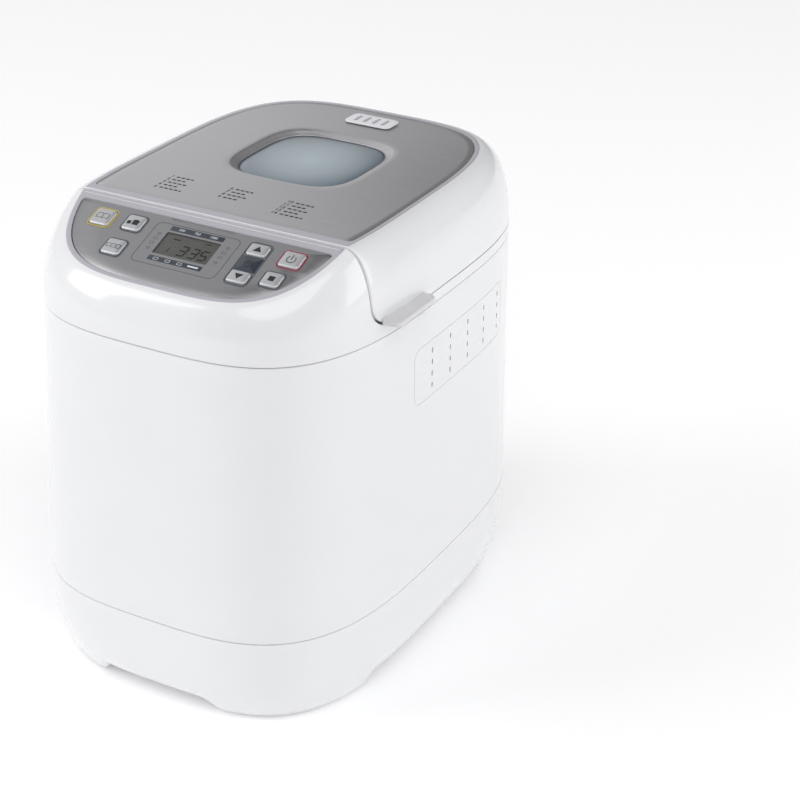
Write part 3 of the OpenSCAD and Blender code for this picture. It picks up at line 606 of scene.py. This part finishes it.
def polar(outline, c, ang):
    """radius of a closed star-shaped outline round c, at the angles ang"""
    d = np.asarray(outline) - c
    a = np.arctan2(d[:, 1], d[:, 0])
    rad = np.hypot(d[:, 0], d[:, 1])
    o = np.argsort(a)
    a, rad = a[o], rad[o]
    x = np.r_[a - 2 * np.pi, a, a + 2 * np.pi]
    u = np.stack([np.cos(x), np.sin(x)], -1) * np.r_[rad, rad, rad][:, None]
    # straight edges between outline points stay straight
    out = []
    for t in ang:
        i = int(np.searchsorted(x, t))
        p, q = u[i - 1], u[i]
        e = q - p
        dr = np.array([math.cos(t), math.sin(t)])
        den = dr[0] * e[1] - dr[1] * e[0]
        out.append((p[0] * e[1] - p[1] * e[0]) / den if abs(den) > 1e-9 else np.hypot(*p))
    return np.array(out)


def angles_for(outline, c, n):
    d = np.asarray(outline) - c
    a = np.arctan2(d[:, 1], d[:, 0])
    step = np.linalg.norm(np.roll(outline, -1, 0) - np.roll(outline, 1, 0), axis=1)
    e1 = outline - np.roll(outline, 1, 0)
    e2 = np.roll(outline, -1, 0) - outline
    turn = np.abs((e1[:, 0] * e2[:, 1] - e1[:, 1] * e2[:, 0]) / (np.linalg.norm(e1, axis=1) * np.linalg.norm(e2, axis=1) + 1e-9))
    corner_a = a[turn > 0.06]
    t = np.unique(np.round(np.r_[np.linspace(-np.pi, np.pi, n + 1)[:-1], corner_a], 5))
    keep = [t[0]]
    for v in t[1:]:
        if v - keep[-1] > 0.0015:
            keep.append(v)
    return np.array(keep)


def pol(c, ang, rad):
    return np.stack([c[0] + rad * np.cos(ang), c[1] + rad * np.sin(ang)], -1)


c0 = np.array([0.0, 24.0])
out = d_back(0.02, 2.9, -82.5, 3)
ang = angles_for(out, c0, 260)
ro, ri = polar(out, c0, ang), polar(rr_outline(160, 194, 26, 12, 0, 24), c0, ang)
ring = lambda f, z: at_z(pol(c0, ang, ri + (ro - ri) * f), z)
deck = loft("deck_frame", [ring(0, 240.4), ring(0, 242.6), ring(0.02, 243.05), ring(0.1, 243.15), ring(0.5, 243.15), ring(0.93, 243.15), ring(0.985, 243.6), ring(1, 244.2), ring(1, 240.4)], [M_DECK], cycle=True)
put(deck, "root", "deck_white", "top_deck")

# ------------------------------------------------------------------ lid top: one pressed silver sheet with the window recess
wc = np.array([0.0, 30.0])


def win(d, ang):
    c, s = np.abs(np.cos(ang)), np.abs(np.sin(ang))
    lo, hi = np.zeros(len(ang)), np.full(len(ang), 80.0)
    for _ in range(40):
        r = (lo + hi) / 2
        f = (r * c / (38 + d)) ** 3.6 + (r * s / (41.8 + d)) ** 3.6
        lo, hi = np.where(f < 1, r, lo), np.where(f < 1, hi, r)
    return lo


out = d_back(1, 3.45, -76.45, 3.4)
ang = angles_for(out, wc, 300)
ro = polar(out, wc, ang)


def crown(p):
    return 1.5 * np.clip(1 - (p[:, 0] / 88) ** 2, 0, 1) * np.clip(1 - ((p[:, 1] - 22) / 100) ** 2, 0, 1)


def wring(d):
    return pol(wc, ang, win(d, ang))


prof = [(5.6, 0.0), (5.0, -0.12), (4.2, -0.55), (3.4, -1.15), (2.6, -1.8), (1.8, -2.35), (1.1, -2.7), (0.9, -3.0)]
rings = []
p = pol(wc, ang, ro)
rings.append(at_z(p, LIDZ - 1.2))
rings.append(at_z(p, LIDZ - 0.12))
pi_ = pol(wc, ang, ro - 0.3)
rings.append(at_z(pi_, LIDZ + 0.05 + crown(pi_)))
for f in (0.08, 0.2, 0.35, 0.5, 0.65, 0.8, 0.92):
    p = pol(wc, ang, (ro - 0.3) * (1 - f) + win(5.6, ang) * f)
    rings.append(at_z(p, LIDZ + 0.05 + crown(p)))
for d, dz in prof:
    p = wring(d)
    rings.append(at_z(p, LIDZ + 0.05 + crown(wring(5.6)) + dz))
rings.append(at_z(wring(0.9), LIDZ - 3.6))
rings.append(at_z(wring(5.6), LIDZ - 1.2))
sheet = loft("lid_sheet", rings, [M_LID], cycle=True, angle=50)

# vent plate pocket
ventc = (0, 107)
pocket = loft("pocket", [at_z(rr_outline(29.2, 14.2, 3, 8, *ventc), z) for z in (288, 300)], [M_LID])
cut(sheet, [pocket], angle=50)
put(sheet, "lid", "lid_silver", "lid_top_panel")

gasket = loft("window_gasket", [at_z(wring(d), z) for d, z in ((0.85, LIDZ - 3.6), (0.85, LIDZ - 1.9), (0.6, LIDZ - 1.65), (0.25, LIDZ - 1.75), (0.12, LIDZ - 2.1), (0.12, LIDZ - 3.6))], [M_GASKET], cycle=True)
lip = loft("g2", [at_z(wring(d), z) for d, z in ((0.85, LIDZ - 3.5), (0.85, LIDZ - 6.3), (-2.0, LIDZ - 6.3), (-2.0, LIDZ - 4.7), (0.12, LIDZ - 4.7), (0.12, LIDZ - 3.5))], [M_GASKET], cycle=True)
gasket = join("window_gasket", [gasket, lip])
put(gasket, "lid", "bezel_grey", "window_bezel")

prof = [(0.0, -4.6), (0.0, -2.6), (-0.35, -2.1), (-1.2, -1.75), (-3, -1.5), (-6, -1.3), (-11, -1.1), (-18, -0.95), (-27, -0.87)]
pane = loft("window_pane", [at_z(wring(d), LIDZ + z) for d, z in prof], [M_WINDOW_PAINTED_LIGHT], angle=60)
put(pane, "lid", "window_frosted", "window_glass")

# vent plate with four through slots
prof = [(28.4, 13.4, 2.8, -3.4), (28.4, 13.4, 2.8, 1.2), (32.8, 17.8, 4.0, 1.25), (33.1, 18.1, 4.1, 1.6), (32.8, 17.8, 4.0, 1.95), (32.0, 17.0, 3.6, 2.15), (29.0, 14.0, 2.6, 2.25)]
vent = loft("lid_vent", [at_z(rr_outline(w, h, r, 8, *ventc), LIDZ + z) for w, h, r, z in prof], [M_VENT])
cs = []
for i in (-1.5, -0.5, 0.5, 1.5):
    # the slot cutters carry the near-black painted-shade material
    cs.append(loft("c", [at_z(rr_outline(2.7, 10.8, 1.3, 6, i * 6.6, 107), z) for z in (LIDZ - 8, LIDZ + 8)], [M_SLOT_PAINTED_SHADE]))
cut(vent, [join("cs", cs)])
put(vent, "lid", "vent_grey", "lid_vent_plate")

# finger grips at the lid's lower edge
gr = []
for sgn in (-1, 1):
    def plan(inset):
        x0, x1, ya, yb_ = 109.2, 120.4 - inset, -77.4 + inset, -30.6 - inset
        pts = [(x0, ya)]
        for cx, cy, a0, r in ((x1 - 3.5, ya + 3.5, -90, 3.5), (x1 - 5, yb_ - 5, 0, 5)):
            pts += [(cx + r * math.cos(math.radians(a0 + q)), cy + r * math.sin(math.radians(a0 + q))) for q in range(0, 91, 9)]
        pts.append((x0, yb_))
        return np.array([(sgn * a, b) for a, b in pts])
    gr.append(loft("g", [at_z(plan(i), z) for i, z in ((1.3, 249.0), (0.5, 249.1), (0.12, 249.4), (0, 249.9), (0, 251.3), (0.15, 251.9), (0.6, 252.3), (1.5, 252.5))], [M_GRIP]))
grips = join("grips", gr)
put(grips, "lid", "grip_grey", "lid_grips")

# ------------------------------------------------------------------ control panel
PO = np.array([0, -85.4, 294.1 - 0.4 * TAN])
CT, ST = math.cos(math.radians(21)), math.sin(math.radians(21))


def onp(uv, w):
    uv = np.asarray(uv, float)
    w = np.full(len(uv), float(w)) if np.isscalar(w) else np.asarray(w, float)
    return np.stack([uv[:, 0], PO[1] + uv[:, 1] * CT - w * ST, PO[2] + uv[:, 1] * ST + w * CT], -1)


out = d_front(1, 3.3, -91.6, 3.3)
out = np.stack([out[:, 0], (out[:, 1] - PO[1]) / CT], -1)
pc = np.array([0.0, -28.0])
ang = angles_for(out, pc, 300)
ro = polar(out, pc, ang)
panel = loft("control_panel", [onp(pol(pc, ang, ro * f if f < 1 else ro - q), w) for f, q, w in ((1, 0, -2.2), (1, 0, -0.25), (1, 0.3, 0.0), (0.75, 0, 0.02), (0.5, 0, 0.03), (0.25, 0, 0.03))], [M_PANEL], caps=(True, True), angle=50)
KEYS = {"menu_button": (-62.9, -18.8, 13.4, 13.4), "loaf_size_button": (-41.6, -18, 12.4, 12.4), "crust_button": (-42.2, -39.4, 12.4, 12.4),
        "up_button": (41.9, -16.6, 13, 9.6), "down_button": (41.9, -39.6, 13, 9.6), "start_button": (64.6, -18, 13.6, 12.4), "stop_button": (61.6, -35.8, 11.8, 11.4)}
cs = []
for u, v, w, h in KEYS.values():
    cs.append(loft("c", [onp(rr_outline(w + 0.6, h + 0.6, 2.1, 8, u, v), z) for z in (-6, 4)], [M_PANEL]))
cs.append(loft("c", [onp(rr_outline(36.4, 18.2, 0.9, 6, 0, -27.2), z) for z in (-6, 4)], [M_PANEL]))
cut(panel, cs, angle=50)
put(panel, "root", "fascia_silver", "control_fascia")


def plate(name, outline_fn, mat, body, slot, prof, *repl):
    """a low rounded piece on the panel: outline_fn(inset) gives its outline, prof is (inset, height) from the bottom up"""
    o = loft(name, [onp(outline_fn(i), w) for i, w in prof], [mat])
    return put(o, body, slot, *repl)


def ring_piece(name, fn, w0, w1, width, mat, body, slot):
    """a closed band along an outline, from its edge inwards"""
    rings = [onp(fn(0), w0), onp(fn(0), w1 - 0.05), onp(fn(0.12), w1), onp(fn(width - 0.12), w1), onp(fn(width), w1 - 0.05), onp(fn(width), w0)]
    return put(loft(name, rings, [mat], cycle=True), body, slot)


TRIMS = {"menu_button": M_YELLOW, "start_button": M_RED}
for name, (u, v, w, h) in KEYS.items():
    def fn(i, u=u, v=v, w=w, h=h):
        return rr_outline(w - 2 * i, h - 2 * i, max(0.5, 2.0 - i), 9, u, v)
    plate(name.replace("button", "key"), fn, M_KEY, name, "key_silver",
          [(0.3, -3.0), (0, -2.6), (0, 0.35), (0.18, 0.75), (0.6, 1.1), (1.3, 1.32), (2.6, 1.42), (4.0, 1.46)], name)
    if name not in ("up_button", "down_button"):
        def tf(i, u=u, v=v, w=w, h=h):
            return rr_outline(w + 2.2 - 2 * i, h + 2.2 - 2 * i, 3.0 - i, 9, u, v)
        ring_piece("trim_" + name, tf, -0.2, 0.3, 0.75, TRIMS.get(name, M_TRIM), "root", "clock_blue")
ring_piece("trim_pill", lambda i: rr_outline(15.6 - 2 * i, 35.6 - 2 * i, 3.2 - i, 9, 41.9, -28.1), -0.2, 0.3, 0.75, M_TRIM, "root", "clock_blue")
plate("clock_plate", lambda i: rr_outline(13.9 - 2 * i, 12.2 - 2 * i, 0.5, 4, 41.9, -28.1), M_CLOCK, "root", "clock_blue", [(0, -0.3), (0, 0.2), (0.2, 0.3)], "clock_tile")
ring_piece("display_outline", lambda i: rr_outline(57.0 - 2 * i, 34.4 - 2 * i, 4.2 - i, 9, 0.3, -28.6), -0.1, 0.1, 0.5, M_TRIM, "root", "clock_blue")
plate("display_face", lambda i: rr_outline(36.2 - 2 * i, 18.0 - 2 * i, 0.6, 4, 0, -27.2), M_LCD, "root", "lcd_body", [(0, -3.0), (0, -0.75), (0.2, -0.7)], "lcd_module")
plate("display_cover", lambda i: rr_outline(36.3 - 2 * i, 18.1 - 2 * i, 0.7, 4, 0, -27.2), M_LCDGLASS, "root", "lcd_glass", [(0.1, -0.5), (0, -0.4), (0, -0.02), (0.25, 0.08)], "lcd_lens")
plate("display_bar_top", lambda i: rr_outline(36.0 - 2 * i, 3.8 - 2 * i, 0.4, 4, 0, -14.6), M_BAR, "root", "clock_blue", [(0, -0.1), (0, 0.05), (0.1, 0.08)])
plate("display_bar_low", lambda i: rr_outline(36.0 - 2 * i, 3.8 - 2 * i, 0.4, 4, -0.2, -40.2), M_BAR, "root", "clock_blue", [(0, -0.1), (0, 0.05), (0.1, 0.08)])


# thin printed marks: flat closed prisms
def prism(poly, w0, w1):
    p = np.asarray(poly, float)
    n = len(p)
    v = np.vstack([onp(p, w0), onp(p, w1)])
    f = [tuple(range(n))[::-1], tuple(range(n, 2 * n))] + [(i, (i + 1) % n, n + (i + 1) % n, n + i) for i in range(n)]
    return v, f


class Marks:
    def __init__(self):
        self.v, self.f = [], []

    def poly(self, pts, w0, w1):
        v, f = prism(pts, w0, w1)
        b = len(self.v)
        self.v += v.tolist()
        self.f += [tuple(b + i for i in q) for q in f]

    def line(self, a, b, t, w0, w1):
        a, b = np.array(a, float), np.array(b, float)
        d = (b - a) / np.linalg.norm(b - a)
        n = np.array([-d[1], d[0]]) * t / 2
        self.poly([a + n - d * t * 0.3, a - n - d * t * 0.3, b - n + d * t * 0.3, b + n + d * t * 0.3], w0, w1)

    def path(self, pts, t, w0, w1, closed=False):
        q = list(pts) + ([pts[0]] if closed else [])
        for a, b in zip(q[:-1], q[1:]):
            self.line(a, b, t, w0, w1)

    def ringarc(self, c, r, t, a0, a1, w0, w1, n=24):
        a = np.radians(np.linspace(a0, a1, n + 1))
        for i in range(n):
            self.poly([(c[0] + q * math.cos(x), c[1] + q * math.sin(x)) for q, x in ((r - t / 2, a[i]), (r + t / 2, a[i]), (r + t / 2, a[i + 1]), (r - t / 2, a[i + 1]))], w0, w1)

    def done(self, name, mat, body, slot):
        return put(make(name, self.v, self.f, [mat]), body, slot)


KT = 1.44  # top of a key
m = Marks(); m.poly([(39.2, -18.5), (44.8, -18.5), (42.0, -14.4)], KT - 0.1, KT + 0.08); m.done("mark_up", M_INK, "up_button", "dark_plastic")
m = Marks(); m.poly([(44.8, -37.8), (39.2, -37.8), (42.0, -41.9)], KT - 0.1, KT + 0.08); m.done("mark_down", M_INK, "down_button", "dark_plastic")
m = Marks()
m.ringarc((64.6, -18.4), 2.7, 0.5, 125, 415, KT - 0.1, KT + 0.08)
m.line((64.6, -18.6), (64.6, -14.9), 0.5, KT - 0.1, KT + 0.08)
m.done("mark_power", M_INK, "start_button", "dark_plastic")
m = Marks()
m.poly([(59.7, -37.7), (63.5, -37.7), (63.5, -33.9), (59.7, -33.9)], KT - 0.1, KT + 0.08)
m.done("mark_stop", M_INK, "stop_button", "dark_plastic")
m = Marks()  # open book outline
for s in (-1, 1):
    pts = [(-62.9, -20.6), (-62.9 + s * 1.6, -20.1), (-62.9 + s * 4.0, -20.5), (-62.9 + s * 4.0, -16.9), (-62.9 + s * 1.6, -16.5), (-62.9, -17.0)]
    m.path(pts, 0.35, KT - 0.1, KT + 0.08, closed=True)
m.done("mark_book", M_INKMID, "menu_button", "dark_plastic")
m = Marks()  # two loaves, small and large
for cx, sc_ in ((-44.4, 0.75), (-40.2, 1.15)):
    m.poly([(cx - 1.7 * sc_, -20.2), (cx + 1.7 * sc_, -20.2), (cx + 1.7 * sc_, -20.2 + 2.0 * sc_), (cx + 2.0 * sc_, -20.2 + 2.7 * sc_), (cx + 1.4 * sc_, -20.2 + 3.5 * sc_), (cx, -20.2 + 3.8 * sc_), (cx - 1.4 * sc_, -20.2 + 3.5 * sc_), (cx - 2.0 * sc_, -20.2 + 2.7 * sc_), (cx - 1.7 * sc_, -20.2 + 2.0 * sc_)], KT - 0.1, KT + 0.08)
m.done("mark_loaves", M_INK, "loaf_size_button", "dark_plastic")
m = Marks()  # three slices, light to dark
for i, cx in enumerate((-45.6, -42.2, -38.8)):
    m.path([(cx - 1.1, -40.9), (cx + 1.1, -40.9), (cx + 1.1, -39.2), (cx + 1.4, -38.4), (cx, -37.8), (cx - 1.4, -38.4), (cx - 1.1, -39.2)], 0.22 + 0.14 * i, KT - 0.1, KT + 0.08, closed=True)
m.done("mark_crust", M_INKMID, "crust_button", "dark_plastic")
m = Marks()  # clock face
m.ringarc((41.9, -28.1), 2.5, 0.38, 0, 360, 0.25, 0.4)
m.path([(40.5, -27.1), (41.9, -28.3), (43.4, -27.4)], 0.36, 0.25, 0.4)
m.done("mark_clock", M_INK, "root", "dark_plastic")

# seven-segment digits
SEG = {"3": "abgcd", "5": "afgcd", "1": "bc"}


def digit(m, ch, x, y, w, h, t, slant=0.12):
    P_ = {"a": ((0, h), (w, h)), "b": ((w, h), (w, h / 2)), "c": ((w, h / 2), (w, 0)), "d": ((0, 0), (w, 0)), "e": ((0, h / 2), (0, 0)), "f": ((0, h), (0, h / 2)), "g": ((0, h / 2), (w, h / 2))}
    for s in SEG[ch]:
        (x0, y0_), (x1, y1_) = P_[s]
        a = np.array([x + x0 + slant * y0_, y + y0_])
        b = np.array([x + x1 + slant * y1_, y + y1_])
        d = (b - a) / np.linalg.norm(b - a)
        m.line(a + d * t * 0.55, b - d * t * 0.55, t, -0.75, -0.62)


m = Marks()
for ch, x in (("3", -4.0), ("3", 3.4), ("5", 10.0)):
    digit(m, ch, x, -33.4, 4.4, 7.6, 1.05)
digit(m, "1", -13.0, -33.0, 2.2, 4.2, 0.5)
for yy in (-31.4, -28.4):
    m.poly([(1.8, yy), (2.5, yy), (2.5, yy + 0.8), (1.8, yy + 0.8)], -0.75, -0.62)
m.poly([(-12, -22.3), (-7.4, -22.3), (-7.4, -21.5), (-12, -21.5)], -0.75, -0.62)
m.poly([(8.5, -20.6), (12.5, -20.6), (12.5, -19.8), (8.5, -19.8)], -0.75, -0.62)
m.done("display_digits", M_INK, "root", "dark_plastic")
m = Marks()  # small outline symbols beside the display
for i, (x, y) in enumerate(((-22.4, -21.0), (-22.6, -24.9), (-22.7, -28.9), (-22.4, -33.2), (23.6, -20.2), (23.2, -24.1), (23.0, -28.3), (22.8, -32.8))):
    if i in (0, 3, 4, 7):
        m.ringarc((x, y), 1.15, 0.22, 0, 360, 0.0, 0.1, 14)
        m.line((x - 0.6, y), (x + 0.6, y), 0.2, 0.0, 0.1)
    else:
        m.path([(x - 1.2, y - 0.9), (x + 1.2, y - 0.9), (x + 1.2, y + 0.9), (x - 1.2, y + 0.9)], 0.22, 0.0, 0.1, closed=True)
m.done("display_symbols", M_INKMID, "root", "dark_plastic")
m = Marks()  # marks in the lower bar
for i, x in enumerate((-13, -5, 3)):
    m.path([(x - 1.5, -41.1), (x + 1.5, -41.1), (x + 1.5, -39.4), (x - 1.5, -39.4)], 0.25, 0.05, 0.14, closed=True)
m.poly([(8.5, -40.8), (15.5, -40.8), (15.5, -39.6), (8.5, -39.6)], 0.05, 0.14)
m.done("display_bar_marks", M_INKLIGHT, "root", "dark_plastic")


def number(name, text, size, at, mat, body, slot, panel_space, align="LEFT"):
    cu = bpy.data.curves.new(name, "FONT")
    cu.body = text
    cu.size = size
    cu.extrude = 0.04
    cu.resolution_u = 3
    cu.align_x = align
    cu.align_y = "CENTER"
    t = bpy.data.objects.new(name + "_t", cu)
    sc.collection.objects.link(t)
    dg = bpy.context.evaluated_depsgraph_get()
    me = bpy.data.meshes.new_from_object(t.evaluated_get(dg))
    pts = np.array([v.co for v in me.vertices]).reshape(-1, 3)
    uv = pts[:, :2] + np.array(at[:2])
    if panel_space:
        w = onp(uv, pts[:, 2] + at[2])
    else:
        w = np.c_[uv, LIDZ + 0.05 + crown(uv) + 0.03 + pts[:, 2]]
    fs = [tuple(p.vertices) for p in me.polygons]
    bpy.data.objects.remove(t)
    return w, fs


def numbers(name, items, mat, body, slot, panel_space):
    v, f = [], []
    for text, size, at, align in items:
        w, fs = number("n", text, size, at, mat, body, slot, panel_space, align)
        b = len(v)
        v += w.tolist()
        f += [tuple(b + i for i in q) for q in fs]
    return put(make(name, v, f, [mat], fix=False), body, slot)


numbers("display_bar_numbers", [(t, 2.6, (x, -14.7, 0.1), "CENTER") for t, x in (("500", -10.5), ("750", 0), ("1000", 11))], M_INKLIGHT, "root", "dark_plastic", True)

# programme numbers on the lid, each followed by a plain dash
items, dashes = [], []
for first, count, x0, y0_ in ((1, 5, -56.0, -42.6), (6, 4, -14.2, -42.4), (10, 5, 27.6, -42.8)):
    for i in range(count):
        items.append((str(first + i), 4.2, (x0 + 2.4, y0_ - 4.65 * i, 0), "RIGHT"))
        dashes.append((x0 + 4.2, x0 + 4.2 + (12, 9, 14, 11, 15)[i % 5], y0_ - 4.65 * i))
numbers("programme_numbers", items, M_INK, "lid", "dark_plastic", False)
v, f = [], []
for a, b, y in dashes:
    for x0_ in np.arange(a, b - 1.0, 3.4):
        q = np.array([(x0_, y - 0.7), (min(b, x0_ + 2.4), y - 0.7), (min(b, x0_ + 2.4), y + 0.7), (x0_, y + 0.7)])
        zt = LIDZ + 0.05 + crown(q)
        n = len(v)
        v += np.c_[q, zt - 0.05].tolist() + np.c_[q, zt + 0.06].tolist()
        f += [tuple(n + i for i in w) for w in ((3, 2, 1, 0), (4, 5, 6, 7), (0, 1, 5, 4), (1, 2, 6, 5), (2, 3, 7, 6), (3, 0, 4, 7))]
put(make("programme_dashes", v, f, [M_INK]), "lid", "dark_plastic")

# ------------------------------------------------------------------ stage and light
fm = bpy.data.materials.new("floor")
fm.use_nodes = True
fb = fm.node_tree.nodes["Principled BSDF"]
fb.inputs["Base Color"].default_value = (0.93, 0.93, 0.935, 1)
fb.inputs["Roughness"].default_value = 0.8
fb.inputs["Emission Color"].default_value = (1, 1, 1, 1)
fb.inputs["Emission Strength"].default_value = 0.15
me = bpy.data.meshes.new("floor")
s = 12
me.from_pydata([(-s, -s, 0), (s, -s, 0), (s, s, 0), (-s, s, 0)], [], [(0, 1, 2, 3)])
me.materials.append(fm)
floor = bpy.data.objects.new("floor", me)
sc.collection.objects.link(floor)

w = bpy.data.worlds.new("studio")
sc.world = w
w.use_nodes = True
nt = w.node_tree
bg = nt.nodes["Background"]
tc = nt.nodes.new("ShaderNodeTexCoord")
sp = nt.nodes.new("ShaderNodeSeparateXYZ")
nt.links.new(tc.outputs["Generated"], sp.inputs[0])
mr = nt.nodes.new("ShaderNodeMapRange")
mr.inputs["From Min"].default_value = -1
mr.inputs["From Max"].default_value = 1
nt.links.new(sp.outputs["X"], mr.inputs["Value"])
cr = nt.nodes.new("ShaderNodeValToRGB")
el = cr.color_ramp.elements
el[0].position, el[0].color = 0.0, (0.8, 0.8, 0.81, 1)
el[1].position, el[1].color = 1.0, (0.5, 0.5, 0.51, 1)
for pos, val in ((0.19, 1.0), (0.262, 0.88), (0.31, 0.25), (0.45, 0.16), (0.6, 0.27), (0.8, 0.5)):
    q = el.new(pos)
    q.color = (val, val, val * 1.015, 1)
nt.links.new(mr.outputs["Result"], cr.inputs["Fac"])
nt.links.new(cr.outputs["Color"], bg.inputs["Color"])
bg.inputs["Strength"].default_value = 0.86
white = nt.nodes.new("ShaderNodeBackground")
white.inputs["Color"].default_value = (1, 1, 1, 1)
white.inputs["Strength"].default_value = 1.0
lp = nt.nodes.new("ShaderNodeLightPath")
mx = nt.nodes.new("ShaderNodeMixShader")
nt.links.new(lp.outputs["Is Camera Ray"], mx.inputs[0])
nt.links.new(bg.outputs[0], mx.inputs[1])
nt.links.new(white.outputs[0], mx.inputs[2])
nt.links.new(mx.outputs[0], nt.nodes["World Output"].inputs["Surface"])


def area(name, loc, target, sx, sy, power, color=(1, 1, 1)):
    ld = bpy.data.lights.new(name, "AREA")
    ld.shape = "RECTANGLE"
    ld.size, ld.size_y, ld.energy, ld.color = sx, sy, power, color
    lo = bpy.data.objects.new(name, ld)
    lo.location = loc
    lo.rotation_euler = (Vector(target) - Vector(loc)).to_track_quat("-Z", "Y").to_euler()
    sc.collection.objects.link(lo)
    return lo


area("key", (-1.5, -1.2, 1.3), (0, 0, 0.15), 1.0, 1.6, 13)
area("side", (1.7, 0.7, 0.9), (0, 0, 0.15), 0.9, 1.6, 9)
sun = bpy.data.lights.new("overhead", "SUN")
sun.energy = 1.3
sun.angle = math.radians(60)
so = bpy.data.objects.new("overhead", sun)
so.rotation_euler = Vector((-0.3, 0.45, -0.84)).to_track_quat("-Z", "Y").to_euler()
sc.collection.objects.link(so)
sc.view_settings.view_transform = "Standard"
sc.view_settings.look = "None"
sc.view_settings.exposure = 0.0
